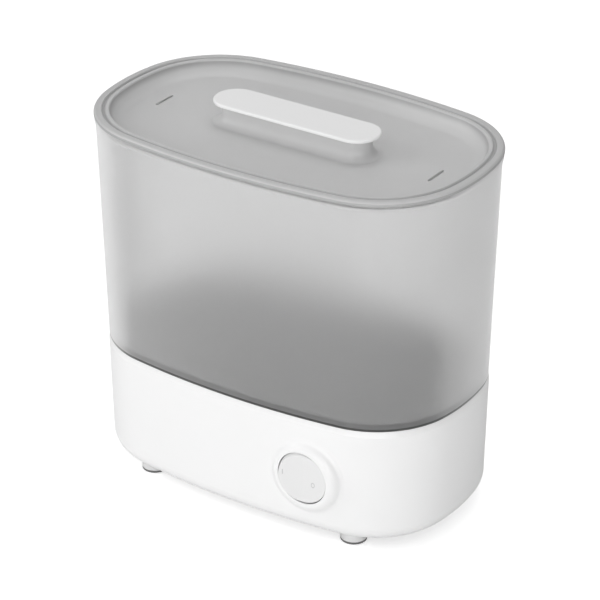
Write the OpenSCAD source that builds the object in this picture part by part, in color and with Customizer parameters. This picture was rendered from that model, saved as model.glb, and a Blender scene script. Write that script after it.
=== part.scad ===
// Electric steam steriliser for baby bottles.
// An oval base holds the heating plate and a round rocker switch. A tall frosted
// tub with a pierced floor stands on the base, and a lid with a pill-shaped
// handle closes it.
// Millimetres. +Z is up and -Y is the front. The origin is at the middle of the
// underside, on the table.

/* [Oval outline] */
// Length of the lid, which is the widest oval of the body
oval_length = 290; // [275:1:315]
// Width of the lid
oval_width = 177; // [170:1:190]
// Radius of the four corners
corner_radius = 69; // [64:0.5:72]
// Half the angle that each long side turns through, in degrees
side_half = 8.26; // [7.5:0.01:9]
// Half the angle that each end turns through, in degrees
end_half = 9.32; // [8.5:0.01:10]

/* [Base] */
// Height of the base, from its underside to the seam with the tub
base_height = 89.7; // [88:0.1:105]
// How far the base is drawn in from the lid's outline at the seam
base_inset_top = 5.3; // [5:0.1:6.5]
// How far it is drawn in at its foot
base_inset_foot = 6.8; // [6.6:0.1:9]
// Wall of the base shell
base_wall = 2.5; // [2:0.1:3]
// Radius of the round edge between wall and underside
base_round = 13; // [11:0.5:14]
// Height of the sloping band under the seam
band_height = 4.6; // [3:0.1:7]
// How far that band leans in
band_width = 1.3; // [0.5:0.1:1.6]
// Width of the flat rim that carries the tub
rim_width = 6.4; // [5.8:0.1:8]
// Depth of the water basin below the rim
basin_depth = 18; // [15:0.5:20]
// Radius between the basin's wall and its floor
basin_round = 8; // [5:0.5:10]
// Draft of the basin's wall, as an offset over its height
basin_draft = 0.4; // [0.1:0.1:1]

/* [Bottom cover and feet] */
// Thickness of the bottom cover
cover_thick = 2.5; // [2:0.1:3.5]
// Gap between the cover's edge and the shell
cover_gap = 0.4; // [0.2:0.05:0.8]
// Height of the bosses inside the cover, around its screws
cover_boss = 2; // [1.5:0.1:4]
// Height of a foot with its pad
foot_height = 8; // [6:0.5:12]
// Radius of a foot
foot_radius = 9.4; // [8:0.1:10]
// Distance of the feet from the middle, lengthways
foot_x = 85; // [78:0.5:88]
// Distance of the feet from the middle, crossways
foot_y = 56; // [50:0.5:58]
// Thickness of a rubber pad under a foot
pad_thick = 2; // [1:0.1:3]
// Radius of the peg that holds a pad
pad_peg_radius = 3; // [2:0.1:4]
// Height of that peg
pad_peg_height = 3; // [2:0.1:4]
// Width of a cooling slot in the bottom cover
vent_width = 3; // [2:0.1:4]
// Length of a cooling slot
vent_length = 26; // [16:1:32]
// Number of cooling slots in each of the two fields
vent_count = 7; // [3:1:8]
// Distance between neighbouring cooling slots
vent_pitch = 7; // [6:0.5:8]

/* [Screws] */
// Radius of a case post
post_radius = 4.5; // [4:0.1:6]
// Distance of the case posts inward from the lid's outline
post_inset = 27; // [26.5:0.5:30]
// Thickness of the webs that tie the posts to the wall
web_thick = 2; // [1.2:0.1:2.5]
// Shank radius of the plastic-tapping screws
screw_radius = 1.5; // [1.2:0.1:1.8]
// Head radius of those screws
screw_head_radius = 3; // [2.5:0.1:3.4]
// Head height of those screws
screw_head_height = 2; // [1.2:0.1:2.4]
// Depth to which a case screw bites in its post
screw_bite = 10; // [6:0.5:14]
// Depth to which the smaller screws bite
short_bite = 5; // [3:0.5:6]

/* [Heating plate] */
// Inner radius of the steel dish
plate_radius = 55.4; // [50:0.2:56]
// Depth of the dish below its flange
plate_depth = 6; // [4:0.5:8]
// Sheet thickness of the dish
plate_sheet = 1; // [0.8:0.1:1.5]
// Width of the dish's flange outside its wall
flange_width = 6.1; // [5:0.1:7]
// Thickness of the flat part of the seal
seal_thick = 1.5; // [1:0.1:2.5]
// Height of the seal's lip above the basin floor
seal_lip = 0.5; // [0.3:0.1:1.5]
// Thickness of the clamp ring
clamp_thick = 1.2; // [1:0.1:2]
// Width of the clamp ring outside the flange
clamp_margin = 8.5; // [8:0.1:10]
// Number of clamp screws
clamp_count = 6; // [4:1:8]

/* [Heater] */
// Radius of the aluminium heat spreader
spreader_radius = 50; // [48:0.5:53]
// Thickness of the spreader's disc
spreader_thick = 3; // [2:0.1:4]
// Radius of the ring that the heating tube follows
element_ring = 42; // [36:0.5:43]
// Radius of the heating tube
element_radius = 4; // [3:0.1:4.5]
// Angle of the gap between the tube's ends
element_gap = 60; // [50:1:80]
// Radius of the bend at each end of the tube
element_bend = 10; // [8:0.5:12]
// Radius of the thermostat's head
thermostat_radius = 9; // [8:0.1:10]
// Height of the thermostat's head
thermostat_head = 3; // [2:0.1:4]
// Height of the thermostat's body below its head
thermostat_body = 8; // [6:0.5:10]
// Distance of the thermostat's screws from the middle
bracket_screw = 15; // [14:0.5:18]
// Thickness of the thermostat's bracket and of the fuse's clip
bracket_thick = 1; // [0.6:0.1:1.5]
// Radius of the bosses under the spreader
spreader_boss = 3.5; // [3:0.1:4]
// Thermal fuse: radius of its case
fuse_radius = 2.2; // [1.8:0.1:2.6]
// Thermal fuse: length of its case
fuse_length = 12; // [9:0.5:16]
// Thermal fuse: distance from the middle of the spreader
fuse_y = 23; // [20:0.5:25]

/* [Rocker switch] */
// Distance of the switch to the right of the middle
switch_x = 60; // [54:0.5:62]
// Height of the switch above the base's underside
switch_height = 45.2; // [44:0.1:47]
// How far the collar's face stands out of the wall
collar_proud = 4.5; // [3:0.1:6]
// Radius of the opening in the collar
collar_hole = 19.5; // [18:0.1:19.8]
// Width of the flat lip around the opening
collar_lip = 1.1; // [0.8:0.1:1.6]
// Radius of the collar's rounded shoulder
collar_shoulder = 6; // [5.6:0.1:6.6]
// Radius of the hollow between collar and wall
collar_fillet = 4.5; // [3:0.1:5]
// Depth of the pivot behind the collar's face
pivot_depth = 8.5; // [8:0.1:9]
// Radius of the cap's ball-shaped edge, about the pivot
cap_radius = 20.4; // [20:0.05:20.5]
// How far a level cap's rim stands before the collar
cap_rise = 1.2; // [0:0.1:1.6]
// Depth of the cap's skirt
cap_skirt = 4; // [3:0.1:4.5]
// Wall of the cap
cap_wall = 2; // [1.5:0.1:2.2]
// Slope of each half of the cap's face, in degrees
cap_slope = 4; // [2:0.5:5]
// Lean of the rocker to either side, in degrees
rocker_lean = 6; // [4:0.5:7]
// Radius of the pivot pin
pin_radius = 1.5; // [1.2:0.1:1.8]
// Half length of the pivot pin
pin_reach = 17; // [16:0.1:17.2]
// Running clearance of the rocker on its pin
pin_clearance = 0.05; // [0.02:0.01:0.09]
// Distance of the switch's two screws from its middle
tab_reach = 28; // [27:0.5:30]
// Radius of the tabs that take those screws
tab_radius = 4.5; // [4:0.1:5]
// Depth of the housing's plate behind the pivot
housing_depth = 8; // [7:0.5:10]
// Depth of the contact box behind the switch
box_depth = 16; // [12:0.5:22]
// Width of the contact box
box_width = 22; // [18:1:24]
// Height of the contact box
box_height = 32; // [28:1:34]
// Distance of the rocker's outer lugs from its middle
lug_spacing = 10.5; // [9.5:0.1:10.8]
// Width of each lug
lug_width = 4.5; // [3:0.1:5]
// Thickness of the rocker's finger
finger_thick = 3.2; // [2.4:0.1:4]
// Length of the finger below the pivot
finger_length = 13; // [11:0.5:16]
// Distance between neighbouring terminals
pole_pitch = 10; // [8:0.5:10]

/* [Cord gland and terminals] */
// Height of the gland above the base's underside
gland_height = 24; // [22:0.5:40]
// Radius of the hole for the cord
cord_radius = 3.6; // [3:0.1:4]
// Radius of the gland's neck
gland_neck = 6.3; // [5.5:0.1:7]
// Radius of the gland's flange
gland_flange = 9.5; // [8.5:0.1:11]
// Length of the gland outside its seat, with the sleeve
gland_sleeve = 7; // [5:0.1:7]
// Wall of the sleeve at its end
sleeve_wall = 1.8; // [1.4:0.1:2.4]
// Radius of the gland's inside, where the leads part
lead_radius = 4.8; // [4:0.1:5]
// Length of the terminal block inside
block_length = 32; // [28:1:40]
// Width of the terminal block
block_width = 16; // [14:1:20]
// Height of the terminal block
block_height = 13; // [11:0.5:16]
// Distance of the terminal block from the gland's pad
block_back = 28; // [20:1:36]

/* [Tub] */
// Height from the seam to the top of the lid's rim
tub_height = 172.7; // [150:0.1:200]
// Wall of the tub and thickness of its floor
tub_wall = 2.4; // [2:0.1:3]
// How far the tub is drawn in at the seam
tub_inset_foot = 5.7; // [5.4:0.1:6.6]
// How far it is drawn in under its rim
tub_inset_top = 1.1; // [0.9:0.1:2]
// Height of the bead around the tub's top
bead_height = 4; // [2:0.1:6]
// How far the bead stands out
bead_proud = 0.7; // [0.3:0.1:0.9]
// Height of the floor's underside above the seam
floor_lift = 1.5; // [1:0.1:4]
// Depth of the spigot that drops into the basin
spigot_depth = 6; // [4:0.5:8]
// Gap between spigot and basin wall
spigot_gap = 0.6; // [0.5:0.05:1]
// Width of a steam slot in the floor
slot_width = 4; // [3:0.1:6]
// Distance between neighbouring steam slots
slot_pitch = 14; // [12:0.5:16]
// Distance of the outermost slots from the middle
slot_reach = 98; // [84:1:100]
// Width of the bar between the two rows of slots
slot_bar = 10; // [6:0.5:16]
// Margin between the slots and the tub's wall
slot_margin = 14; // [10:0.5:20]

/* [Lid] */
// Thickness of the lid's flange and skin
lid_wall = 2.4; // [2:0.1:2.8]
// Height of the flange that lies on the tub
lid_flange = 3; // [2.6:0.1:3.6]
// Radius of the flange's upper edge
lid_edge = 2; // [1:0.1:2.4]
// Distance of the groove from the lid's outline
groove_inset = 5.4; // [4:0.1:6]
// Width of the groove
groove_width = 2.8; // [1.2:0.1:3]
// Depth of the groove
groove_depth = 1.5; // [0.6:0.1:1.6]
// Distance of the ridge's inner wall from the outline
ridge_inset = 11; // [10:0.1:12]
// Radius of the hollow between the ridge and the panel
cove_radius = 12; // [9:0.1:13]
// Depth of the lid's panel below the rim
panel_depth = 9.2; // [8:0.1:10]
// Distance from the outline at which the panel turns flat
panel_inset = 22.4; // [19:0.1:23]
// Depth of the skirt that centres the lid in the tub
skirt_depth = 6; // [5:0.5:14]
// Gap between that skirt and the tub's wall
skirt_gap = 0.4; // [0.3:0.05:0.8]
// Thickness of the skirt
skirt_thick = 2; // [1.5:0.1:2.2]
// Length of a steam slit in the lid
slit_length = 19.5; // [14:0.5:24]
// Width of a steam slit
slit_width = 2.2; // [1.6:0.1:4]
// Distance of the steam slits from the middle
slit_x = 110.5; // [90:0.5:112]

/* [Handle] */
// Length of the handle plate
handle_length = 130.5; // [110:0.5:150]
// Width of the handle plate
handle_width = 33; // [30:0.5:38]
// Thickness of the handle plate
handle_thick = 2.2; // [2:0.1:3]
// Radius of the handle plate's upper edge
handle_edge = 1.2; // [0.6:0.1:1.4]
// Height of the handle's top above the lid's rim
handle_rise = 7.6; // [6:0.1:12]
// How far the plate overhangs its pedestal all round
handle_overhang = 6; // [5:0.1:7]
// Radius of the hollow at the pedestal's foot
pedestal_fillet = 7; // [4:0.1:8]
// Thickness of the pedestal's roof
pedestal_roof = 3; // [2.4:0.1:4]
// Distance of the handle screws from the middle
handle_screw_x = 35; // [25:0.5:40]
// Head radius of the handle screws
handle_screw_head = 4.5; // [4:0.1:5]

/* [Hidden] */
$fn = 96;
sweep_fn = 256;          // facets of a full turn on the oval's large arcs
overlap = 0.5;           // how far pieces of one moulding run into each other
free = 0.05;             // radial clearance of a screw or pin in its hole
seat_gap = 0.2;          // clearance of a part in its seat
half_length = oval_length / 2;
half_width = oval_width / 2;

// The outline is eight arcs that meet smoothly. The side and end radii follow
// from the overall size, the corner radius and the two angles.
side_turn = 1 - cos(side_half);
end_turn = 1 - cos(end_half);
spread = sin(side_half) * sin(end_half) - end_turn * side_turn;
side_reach = ((half_length - corner_radius) * sin(end_half)
    - (half_width - corner_radius) * end_turn) / spread;
end_reach = ((half_width - corner_radius) * sin(side_half)
    - (half_length - corner_radius) * side_turn) / spread;
side_radius = side_reach + corner_radius;
end_radius = end_reach + corner_radius;
side_shift = side_radius - half_width;
end_shift = end_radius - half_length;
corner_x = side_reach * sin(side_half);
corner_y = end_reach * sin(end_half);

// Heights
base_z = foot_height;
seam_z = base_z + base_height;
cover_top = base_z + cover_thick;
basin_z = seam_z - basin_depth;
basin_under = basin_z - base_wall;
rim_z = seam_z + tub_height;
tub_top = rim_z - lid_flange;
panel_z = rim_z - panel_depth;
panel_under = panel_z - lid_wall;
handle_top = rim_z + handle_rise;
handle_under = handle_top - handle_thick;

// Insets of the basin, measured inward from the lid's outline
rim_outer = base_inset_top + band_width;
basin_inset = rim_outer + rim_width;
basin_foot = basin_inset + basin_draft;
basin_flat = basin_foot + basin_round;
cover_inset = base_inset_foot + base_round;

// Heating plate
plate_outer = plate_radius + plate_sheet;
seal_inner = plate_outer;
basin_hole = plate_outer + 1.1;
flange_radius = plate_outer + flange_width;
flange_top = basin_under - seal_thick;
flange_under = flange_top - plate_sheet;
plate_under = flange_top - plate_depth - plate_sheet;
clamp_radius = flange_radius + clamp_margin;
clamp_circle = flange_radius + clamp_margin / 2 + 0.2;
clamp_boss = clamp_margin / 2 - 0.5;

// Heater
spreader_under = plate_under - spreader_thick;
element_z = spreader_under - element_radius + 0.5;
fuse_side = fuse_y + spreader_boss + fuse_radius + 0.3;
blade_width = 6.3;       // flat blades that take the push-on terminals
blade_thick = 0.8;

// Switch
switch_z = base_z + switch_height;
collar_outer = collar_hole + collar_lip + collar_shoulder;
face_y = -(outline_y(switch_x, -base_inset(switch_z)) + collar_proud);
lip_depth = 1.2;         // steps in the opening, behind the collar's face
step_depth = 3.7;
skirt_bore = cap_radius + 0.8;
cup_inner = skirt_bore + 0.4;
cup_outer = skirt_bore + 2;
cap_front = pivot_depth + cap_rise;
plate_front = pivot_depth + housing_depth;
plate_back = plate_front + 2;
ear_inner = 13.5;        // the pin's ears start here, beside the rocker's lugs
wall_lean = asin(switch_x / (side_radius - base_inset(switch_z)));

// Cord gland
gland_z = base_z + gland_height;
gland_seat = outline_y(0, -base_inset(gland_z)) - 0.6;
gland_inner = outline_y(0, -base_inset(gland_z) - base_wall) - 1.2;
gland_brim = 2.5;        // thickness of its flange

// Screw seats: the height of the underside of each head's bearing face
case_seat = base_z + screw_head_height + 0.3;
post_low = cover_top + cover_boss;
clamp_seat = flange_under - clamp_thick;
bracket_seat = spreader_under - thermostat_head - bracket_thick;
clip_seat = spreader_under - 2 * fuse_radius - bracket_thick;

// Lid and handle
pill_radius = handle_width / 2 - handle_overhang;
pill_straight = handle_length - handle_width;
roof_under = handle_under - pedestal_roof;
boss_radius = 3.2;       // bosses of the handle plate that take its screws

// How far the base's outside is drawn in at a height
function base_inset(z) = base_inset_foot
    + (base_inset_top - base_inset_foot) * (z - base_z - base_round)
    / (base_height - base_round - band_height);

// Distance of the outline from the middle plane at x, drawn out by an offset
function outline_y(x, off) = abs(x) < (side_radius + off) * sin(side_half)
    ? sqrt((side_radius + off)^2 - x^2) - side_shift
    : corner_y + sqrt((corner_radius + off)^2 - (abs(x) - corner_x)^2);

// The oval outline as a flat shape, drawn out by an offset (negative is inward).
// The four chords cut off the tips where the long arcs cross, and the corner
// discs round them.
module oval(off) {
    join_side = [corner_x + (corner_radius + off) * sin(side_half),
        corner_y + (corner_radius + off) * cos(side_half)];
    join_end = [corner_x + (corner_radius + off) * cos(end_half),
        corner_y + (corner_radius + off) * sin(end_half)];
    slope = (join_side[1] - join_end[1]) / (join_end[0] - join_side[0]);
    tip_y = join_side[1] + slope * join_side[0];
    tip_x = tip_y / slope;
    intersection() {
        translate([0, -side_shift]) circle(side_radius + off, $fn = 720);
        translate([0, side_shift]) circle(side_radius + off, $fn = 720);
        translate([-end_shift, 0]) circle(end_radius + off, $fn = sweep_fn);
        translate([end_shift, 0]) circle(end_radius + off, $fn = sweep_fn);
        polygon([[tip_x, 0], [0, tip_y], [-tip_x, 0], [0, -tip_y]]);
    }
    for (sx = [-1, 1], sy = [-1, 1])
        translate([sx * corner_x, sy * corner_y]) circle(corner_radius + off, $fn = sweep_fn);
}

// Moves by a coarse and then a fine step, so that a derived place keeps all its
// digits and neighbouring arcs meet exactly
module shift(v) {
    coarse = [for (c = v) round(10 * c) / 10];
    translate(coarse) translate(v - coarse) children();
}

// One arc of the oval: a section turned about a centre
module arc_sweep(centre, radius, start, span) {
    shift([centre[0], centre[1], 0])
        rotate_extrude(angle = span, start = start, $fn = sweep_fn)
            shift([radius, 0]) children();
}

// Sweeps a section once round the oval. The section lies in [offset, height].
module oval_sweep() {
    corner_span = 90 - side_half - end_half;
    for (s = [-1, 1]) {
        arc_sweep([0, -s * side_shift], side_radius, s * 90 - side_half, 2 * side_half)
            children();
        arc_sweep([-s * end_shift, 0], end_radius, 90 - s * 90 - end_half, 2 * end_half)
            children();
        arc_sweep([s * corner_x, s * corner_y], corner_radius,
            90 - s * 90 + end_half, corner_span) children();
        arc_sweep([-s * corner_x, s * corner_y], corner_radius,
            s * 90 + side_half, corner_span) children();
    }
}

// Sweeps a half section, drawn in [distance, height], round a pill whose two
// round ends are centred this far apart.
module pill_sweep(straight) {
    for (turn = [0, 180])
        rotate(turn) translate([straight / 2, 0, 0]) rotate(-90)
            rotate_extrude(angle = 180) children();
    rotate([90, 0, 90]) translate([0, 0, -straight / 2]) linear_extrude(straight) {
        children();
        mirror([1, 0]) children();
    }
}

// A ring of rectangular section, from one height to another
module ring(inner, outer, low, high) {
    rotate_extrude() translate([inner, low]) square([outer - inner, high - low]);
}

// A disc or rod between two heights
module rod(radius, low, high) {
    translate([0, 0, low]) cylinder(h = high - low, r = radius);
}

// A slot with round ends, lying along Y
module slot2d(length, width) {
    for (s = [-1, 1]) translate([0, s * (length - width) / 2]) circle(width / 2);
    square([width, length - width], center = true);
}

// A quarter of a ring in the section plane, from straight down to straight out
module quarter_bend(centre, inner, outer) {
    translate(centre) intersection() {
        difference() {
            circle(outer);
            circle(inner);
        }
        translate([0, -2 * outer]) square(2 * outer);
    }
}

// A blade for a push-on terminal, across X, from one height to another
module blade(low, high) {
    translate([-blade_thick / 2, -blade_width / 2, low])
        cube([blade_thick, blade_width, high - low]);
}

// A pan-head screw that points up, its head bearing at the given height
module screw(seat, length, head = screw_head_radius) {
    difference() {
        union() {
            rod(head, seat - screw_head_height, seat);
            rod(screw_radius, seat - overlap, seat + length);
        }
        // cross recess
        for (turn = [0, 90]) rotate(turn)
            translate([0, 0, seat - screw_head_height])
                cube([head, head / 4, screw_head_height], center = true);
    }
}

// Case posts: one in each corner and one at each end, with +X outward
module at_posts() {
    for (sx = [-1, 1]) {
        translate([sx * (half_length - post_inset), 0, 0]) rotate(atan2(0, sx)) children();
        for (sy = [-1, 1])
            translate([sx * corner_x, sy * corner_y, 0]) rotate(atan2(sy, sx))
                translate([corner_radius - post_inset, 0, 0]) children();
    }
}

module at_feet() {
    for (sx = [-1, 1], sy = [-1, 1])
        translate([sx * foot_x, sy * foot_y, 0]) children();
}

// Two places on the X axis, at this distance from the middle
module both_sides(distance) {
    for (s = [-1, 1]) translate([s * distance, 0, 0]) children();
}

module at_clamp_screws() {
    for (i = [0:clamp_count - 1])
        rotate(i * 360 / clamp_count) translate([clamp_circle, 0, 0]) children();
}

// The switch's own frame: +Z points out of the base's front and the origin is
// in the middle of the collar's face
module at_switch() {
    translate([switch_x, face_y, switch_z]) rotate([90, 0, 0]) children();
}

// ---- Base ----

// Section of the base shell's outer wall, rim and basin wall
module base_section() {
    bend_z = base_z + base_round;
    band_z = seam_z - band_height;
    basin_bend_z = basin_z + basin_round;
    quarter_bend([-cover_inset, bend_z], base_round - base_wall, base_round);
    polygon([
        [-base_inset_foot, bend_z],
        [-base_inset_top, band_z],
        [-base_inset_top - base_wall, band_z],
        [-base_inset_foot - base_wall, bend_z]]);
    polygon([
        [-base_inset_top, band_z],
        [-rim_outer, seam_z],
        [-basin_inset, seam_z],
        [-basin_inset, seam_z - base_wall],
        [-rim_outer - base_wall, seam_z - base_wall],
        [-base_inset_top - base_wall, band_z]]);
    polygon([
        [-basin_inset, seam_z],
        [-basin_inset + base_wall, seam_z - base_wall],
        [-basin_foot + base_wall, basin_bend_z],
        [-basin_foot, basin_bend_z]]);
    quarter_bend([-basin_flat, basin_bend_z], basin_round, basin_round + base_wall);
    translate([-basin_flat - 2 * overlap, basin_under]) square([2 * overlap, base_wall]);
}

// The rounded collar around the rocker, with a hollow where it meets the wall
module switch_collar() {
    at_switch() {
        rotate_extrude() {
            translate([0, -collar_proud - 3 * base_wall])
                square([collar_outer, collar_proud + 3 * base_wall - collar_shoulder]);
            translate([0, -collar_shoulder]) square([collar_hole + collar_lip, collar_shoulder]);
            translate([collar_hole + collar_lip, -collar_shoulder]) circle(collar_shoulder);
        }
        translate([0, 0, -collar_proud - 1]) rotate([0, wall_lean, 0])
            rotate_extrude() difference() {
                translate([collar_outer - collar_fillet, 0])
                    square([2 * collar_fillet, collar_fillet]);
                translate([collar_outer + collar_fillet, collar_fillet]) circle(collar_fillet);
            }
    }
}

// The stepped opening through the collar
module switch_opening() {
    at_switch() rotate_extrude() {
        translate([0, -lip_depth - overlap]) square([collar_hole, 2 * lip_depth + 2]);
        translate([0, -step_depth - overlap])
            square([skirt_bore, step_depth - lip_depth + overlap]);
        translate([0, -6 * base_wall - step_depth])
            square([cup_outer + 0.3, 6 * base_wall]);
    }
}

module base_shell() color("white") {
    difference() {
        union() {
            oval_sweep() base_section();
            translate([0, 0, basin_under]) linear_extrude(base_wall)
                oval(-basin_flat - overlap);
            switch_collar();
            // posts for the case screws, each with a web to the wall
            at_posts() rod(post_radius, post_low, basin_under + overlap);
            post_webs();
            // bosses for the clamp ring
            at_clamp_screws() rod(clamp_boss, flange_under, basin_under + overlap);
            // bosses for the switch
            for (s = [-1, 1]) switch_boss(s);
            // pad around the cord gland, inside the back wall
            gland_pad();
        }
        rod(basin_hole, basin_under - 1, seam_z);
        switch_opening();
        at_posts() rod(screw_radius + free, post_low - 1, post_low + screw_bite + 1);
        at_clamp_screws()
            rod(screw_radius + free, flange_under - 1, flange_under + short_bite + 0.5);
        at_switch() both_sides(tab_reach)
            rod(screw_radius + free, -plate_front - 1, -plate_front + short_bite + 0.5);
        at_feet() rod(foot_radius + cover_gap + seat_gap, base_z - 1, cover_top + 4);
        gland_hole();
    }
}

// Thin webs that tie the case posts to the wall
module post_webs() {
    web_low = base_z + base_round + 4;
    web_high = seam_z - band_height - 6;
    reach = post_inset - base_inset_foot - 0.3;
    at_posts() translate([0, -web_thick / 2, web_low])
        cube([reach, web_thick, web_high - web_low]);
}

// One of the two bosses that hold the switch housing, left (-1) or right (1)
module switch_boss(side) {
    wall_y = outline_y(switch_x + side * tab_reach, -base_inset(switch_z) - base_wall / 2);
    at_switch() translate([side * tab_reach, 0, -plate_front])
        cylinder(h = wall_y + face_y + plate_front, r = tab_radius - 0.5);
}

// A flat pad inside the back wall, where the gland snaps in
module gland_pad() {
    translate([0, gland_inner, gland_z]) rotate([-90, 0, 0])
        cylinder(h = gland_seat - gland_inner, r = gland_flange + 2);
}

// The hole for the gland, with a flat seat for its flange
module gland_hole() {
    translate([0, gland_seat, gland_z]) rotate([-90, 0, 0]) {
        cylinder(h = 5, r = gland_flange + seat_gap);
        translate([0, 0, gland_inner - gland_seat - 1])
            cylinder(h = 10, r = gland_neck + seat_gap);
    }
}

module bottom_cover() color("whitesmoke") difference() {
    union() {
        translate([0, 0, base_z]) linear_extrude(cover_thick) oval(-cover_inset - cover_gap);
        at_feet() rod(foot_radius, pad_thick, cover_top);
        at_posts() rod(screw_head_radius + 1.8, base_z, post_low);
    }
    // cooling slots in two fields
    for (i = [0:vent_count - 1]) both_sides((i + 1.5) * vent_pitch)
        translate([0, 0, base_z - 1]) linear_extrude(cover_thick + 2)
            slot2d(vent_length, vent_width);
    // pegs of the pads
    at_feet() rod(pad_peg_radius + free, pad_thick - 1, pad_thick + pad_peg_height + 0.3);
    // screw holes with sunk heads
    at_posts() {
        rod(screw_radius + 0.2, base_z - 1, post_low + 1);
        rod(screw_head_radius + 0.3, base_z - 1, case_seat);
    }
}

module foot_pads() color("gray") {
    round_edge = pad_thick * 0.4;
    at_feet() {
        rotate_extrude() {
            square([foot_radius - round_edge, pad_thick]);
            translate([0, round_edge]) square([foot_radius, pad_thick - round_edge]);
            translate([foot_radius - round_edge, round_edge]) circle(round_edge);
        }
        rod(pad_peg_radius, pad_thick - overlap, pad_thick + pad_peg_height);
    }
}

module case_screws() color("silver")
    at_posts() screw(case_seat, post_low - case_seat + screw_bite);

// ---- Heating plate ----

module heating_plate() color("gainsboro") rotate_extrude() {
    translate([0, plate_under]) square([plate_outer, plate_sheet]);
    translate([plate_radius, plate_under]) square([plate_sheet, plate_depth + plate_sheet]);
    translate([plate_radius, flange_under]) square([flange_radius - plate_radius, plate_sheet]);
}

module plate_seal() color("lightgray") rotate_extrude() {
    translate([seal_inner, flange_top]) square([flange_radius - seal_inner, seal_thick]);
    translate([seal_inner, flange_top])
        square([basin_hole - seal_inner - free, basin_z + seal_lip - flange_top]);
}

module clamp_ring() color("silver") difference() {
    ring(plate_outer + 1, clamp_radius, clamp_seat, flange_under);
    at_clamp_screws() rod(screw_radius + 0.3, clamp_seat - 1, flange_under + 1);
}

module clamp_screws() color("silver")
    at_clamp_screws() screw(clamp_seat, clamp_thick + short_bite);

// ---- Heater ----

// A cast disc with a rib that holds the heating tube from above
module heat_spreader() color("darkgray") {
    rib = element_radius + 2;
    difference() {
        union() {
            rod(spreader_radius, spreader_under, plate_under);
            ring(element_ring - rib, element_ring + rib, element_z, spreader_under + overlap);
            both_sides(bracket_screw)
                rod(spreader_boss, spreader_under - thermostat_head, spreader_under + overlap);
            translate([0, fuse_y, 0])
                rod(spreader_boss, spreader_under - 2 * fuse_radius, spreader_under + overlap);
        }
        rotate_extrude() translate([element_ring, element_z]) circle(element_radius + free);
        both_sides(bracket_screw) rod(screw_radius + free, bracket_seat, plate_under - 1);
        translate([0, fuse_y, 0]) rod(screw_radius + free, clip_seat, plate_under - 1);
    }
}

// A tube bent round the plate, its two cold ends turned down with blades
module heating_element() color("dimgray") {
    cold_radius = element_radius - 0.4;
    tuck = 4;            // degrees by which a bend starts inside the tube's end
    bead = 4;
    bead_top = element_z - element_bend + overlap;
    bead_low = element_z - element_bend - bead;
    rotate(90 + element_gap / 2)
        rotate_extrude(angle = 360 - element_gap)
            translate([element_ring, element_z]) circle(element_radius);
    for (s = [-1, 1]) rotate(90 + s * element_gap / 2) {
        translate([element_ring, -s * element_bend, 0]) {
            rod(element_radius, bead_low, bead_top);
            blade(bead_low - 8, bead_low + overlap);
        }
        translate([element_ring, 0, element_z - element_bend]) rotate([90, 0, 90])
            rotate_extrude(angle = 90 + tuck, start = s > 0 ? 90 - tuck : 0)
                translate([element_bend, 0]) circle(cold_radius);
    }
}

module thermostat() color("tan") {
    head_low = spreader_under - thermostat_head;
    body_low = head_low - thermostat_body;
    rod(thermostat_radius, head_low, spreader_under);
    rod(thermostat_radius - 1.2, body_low, head_low + overlap);
    both_sides(4) blade(body_low - 7, body_low + overlap);
}

// Strip that presses the thermostat to the spreader
module thermostat_bracket() color("silver") difference() {
    translate([0, 0, bracket_seat]) linear_extrude(bracket_thick) {
        rotate(90) slot2d(2 * bracket_screw + 8, 8);
        circle(thermostat_radius + 1.5);
    }
    rod(thermostat_radius - 1, bracket_seat - 1, spreader_under);
    both_sides(bracket_screw) rod(screw_radius + 0.2, bracket_seat - 1, spreader_under);
}

module bracket_screws() color("silver") {
    both_sides(bracket_screw) screw(bracket_seat, bracket_thick + short_bite);
    translate([0, fuse_y, 0]) screw(clip_seat, bracket_thick + short_bite + 1);
}

// The fuse lies across, beside its screw, against the spreader
module thermal_fuse() color("khaki")
    translate([0, fuse_side, spreader_under - fuse_radius]) rotate([0, 90, 0]) {
        cylinder(h = fuse_length, r = fuse_radius - free, center = true);
        cylinder(h = fuse_length + 14, r = 0.5, center = true);
    }

module fuse_clip() color("silver") difference() {
    translate([-4, fuse_y - 4, clip_seat])
        cube([8, fuse_side - fuse_y + 4 + fuse_radius, bracket_thick]);
    translate([0, fuse_y, 0]) rod(screw_radius + 0.2, clip_seat - 1, spreader_under);
}

// ---- Rocker switch ----

module switch_housing() color("gray") at_switch() difference() {
    pocket = finger_thick + 6.8;
    union() {
        // cup behind the collar
        ring(cup_inner, cup_outer, -plate_back, -step_depth);
        rod(cup_outer, -plate_back, -plate_front);
        for (s = [-1, 1]) pin_ear(s);
        // tabs for the two screws
        both_sides(tab_reach) rod(tab_radius, -plate_back, -plate_front);
        translate([-tab_reach, -tab_radius, -plate_back])
            cube([2 * tab_reach, 2 * tab_radius, plate_back - plate_front]);
        // contact box
        translate([-box_width / 2, -box_height / 2, -plate_back - box_depth])
            cube([box_width, box_height, box_depth + overlap]);
    }
    // pocket in which the rocker's finger swings
    translate([-pocket / 2, -pocket / 2, -plate_back - box_depth + 3])
        cube([pocket, pocket, box_depth + 2]);
    both_sides(tab_reach) rod(screw_radius + 0.2, -plate_back - 1, -plate_front + 1);
    translate([0, 0, -pivot_depth]) rotate([90, 0, 0])
        cylinder(h = 2 * pin_reach + 2, r = pin_radius + 0.02, center = true);
}

// An ear of the housing that carries one end of the pin
module pin_ear(side) {
    ear = pin_radius + 2;
    width = pin_reach - ear_inner;
    translate([0, side * (ear_inner + pin_reach) / 2, 0]) {
        translate([0, 0, -pivot_depth]) rotate([90, 0, 0])
            cylinder(h = width, r = ear, center = true);
        translate([-ear, -width / 2, -plate_front - overlap])
            cube([2 * ear, width, plate_front - pivot_depth + overlap]);
    }
}

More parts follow.
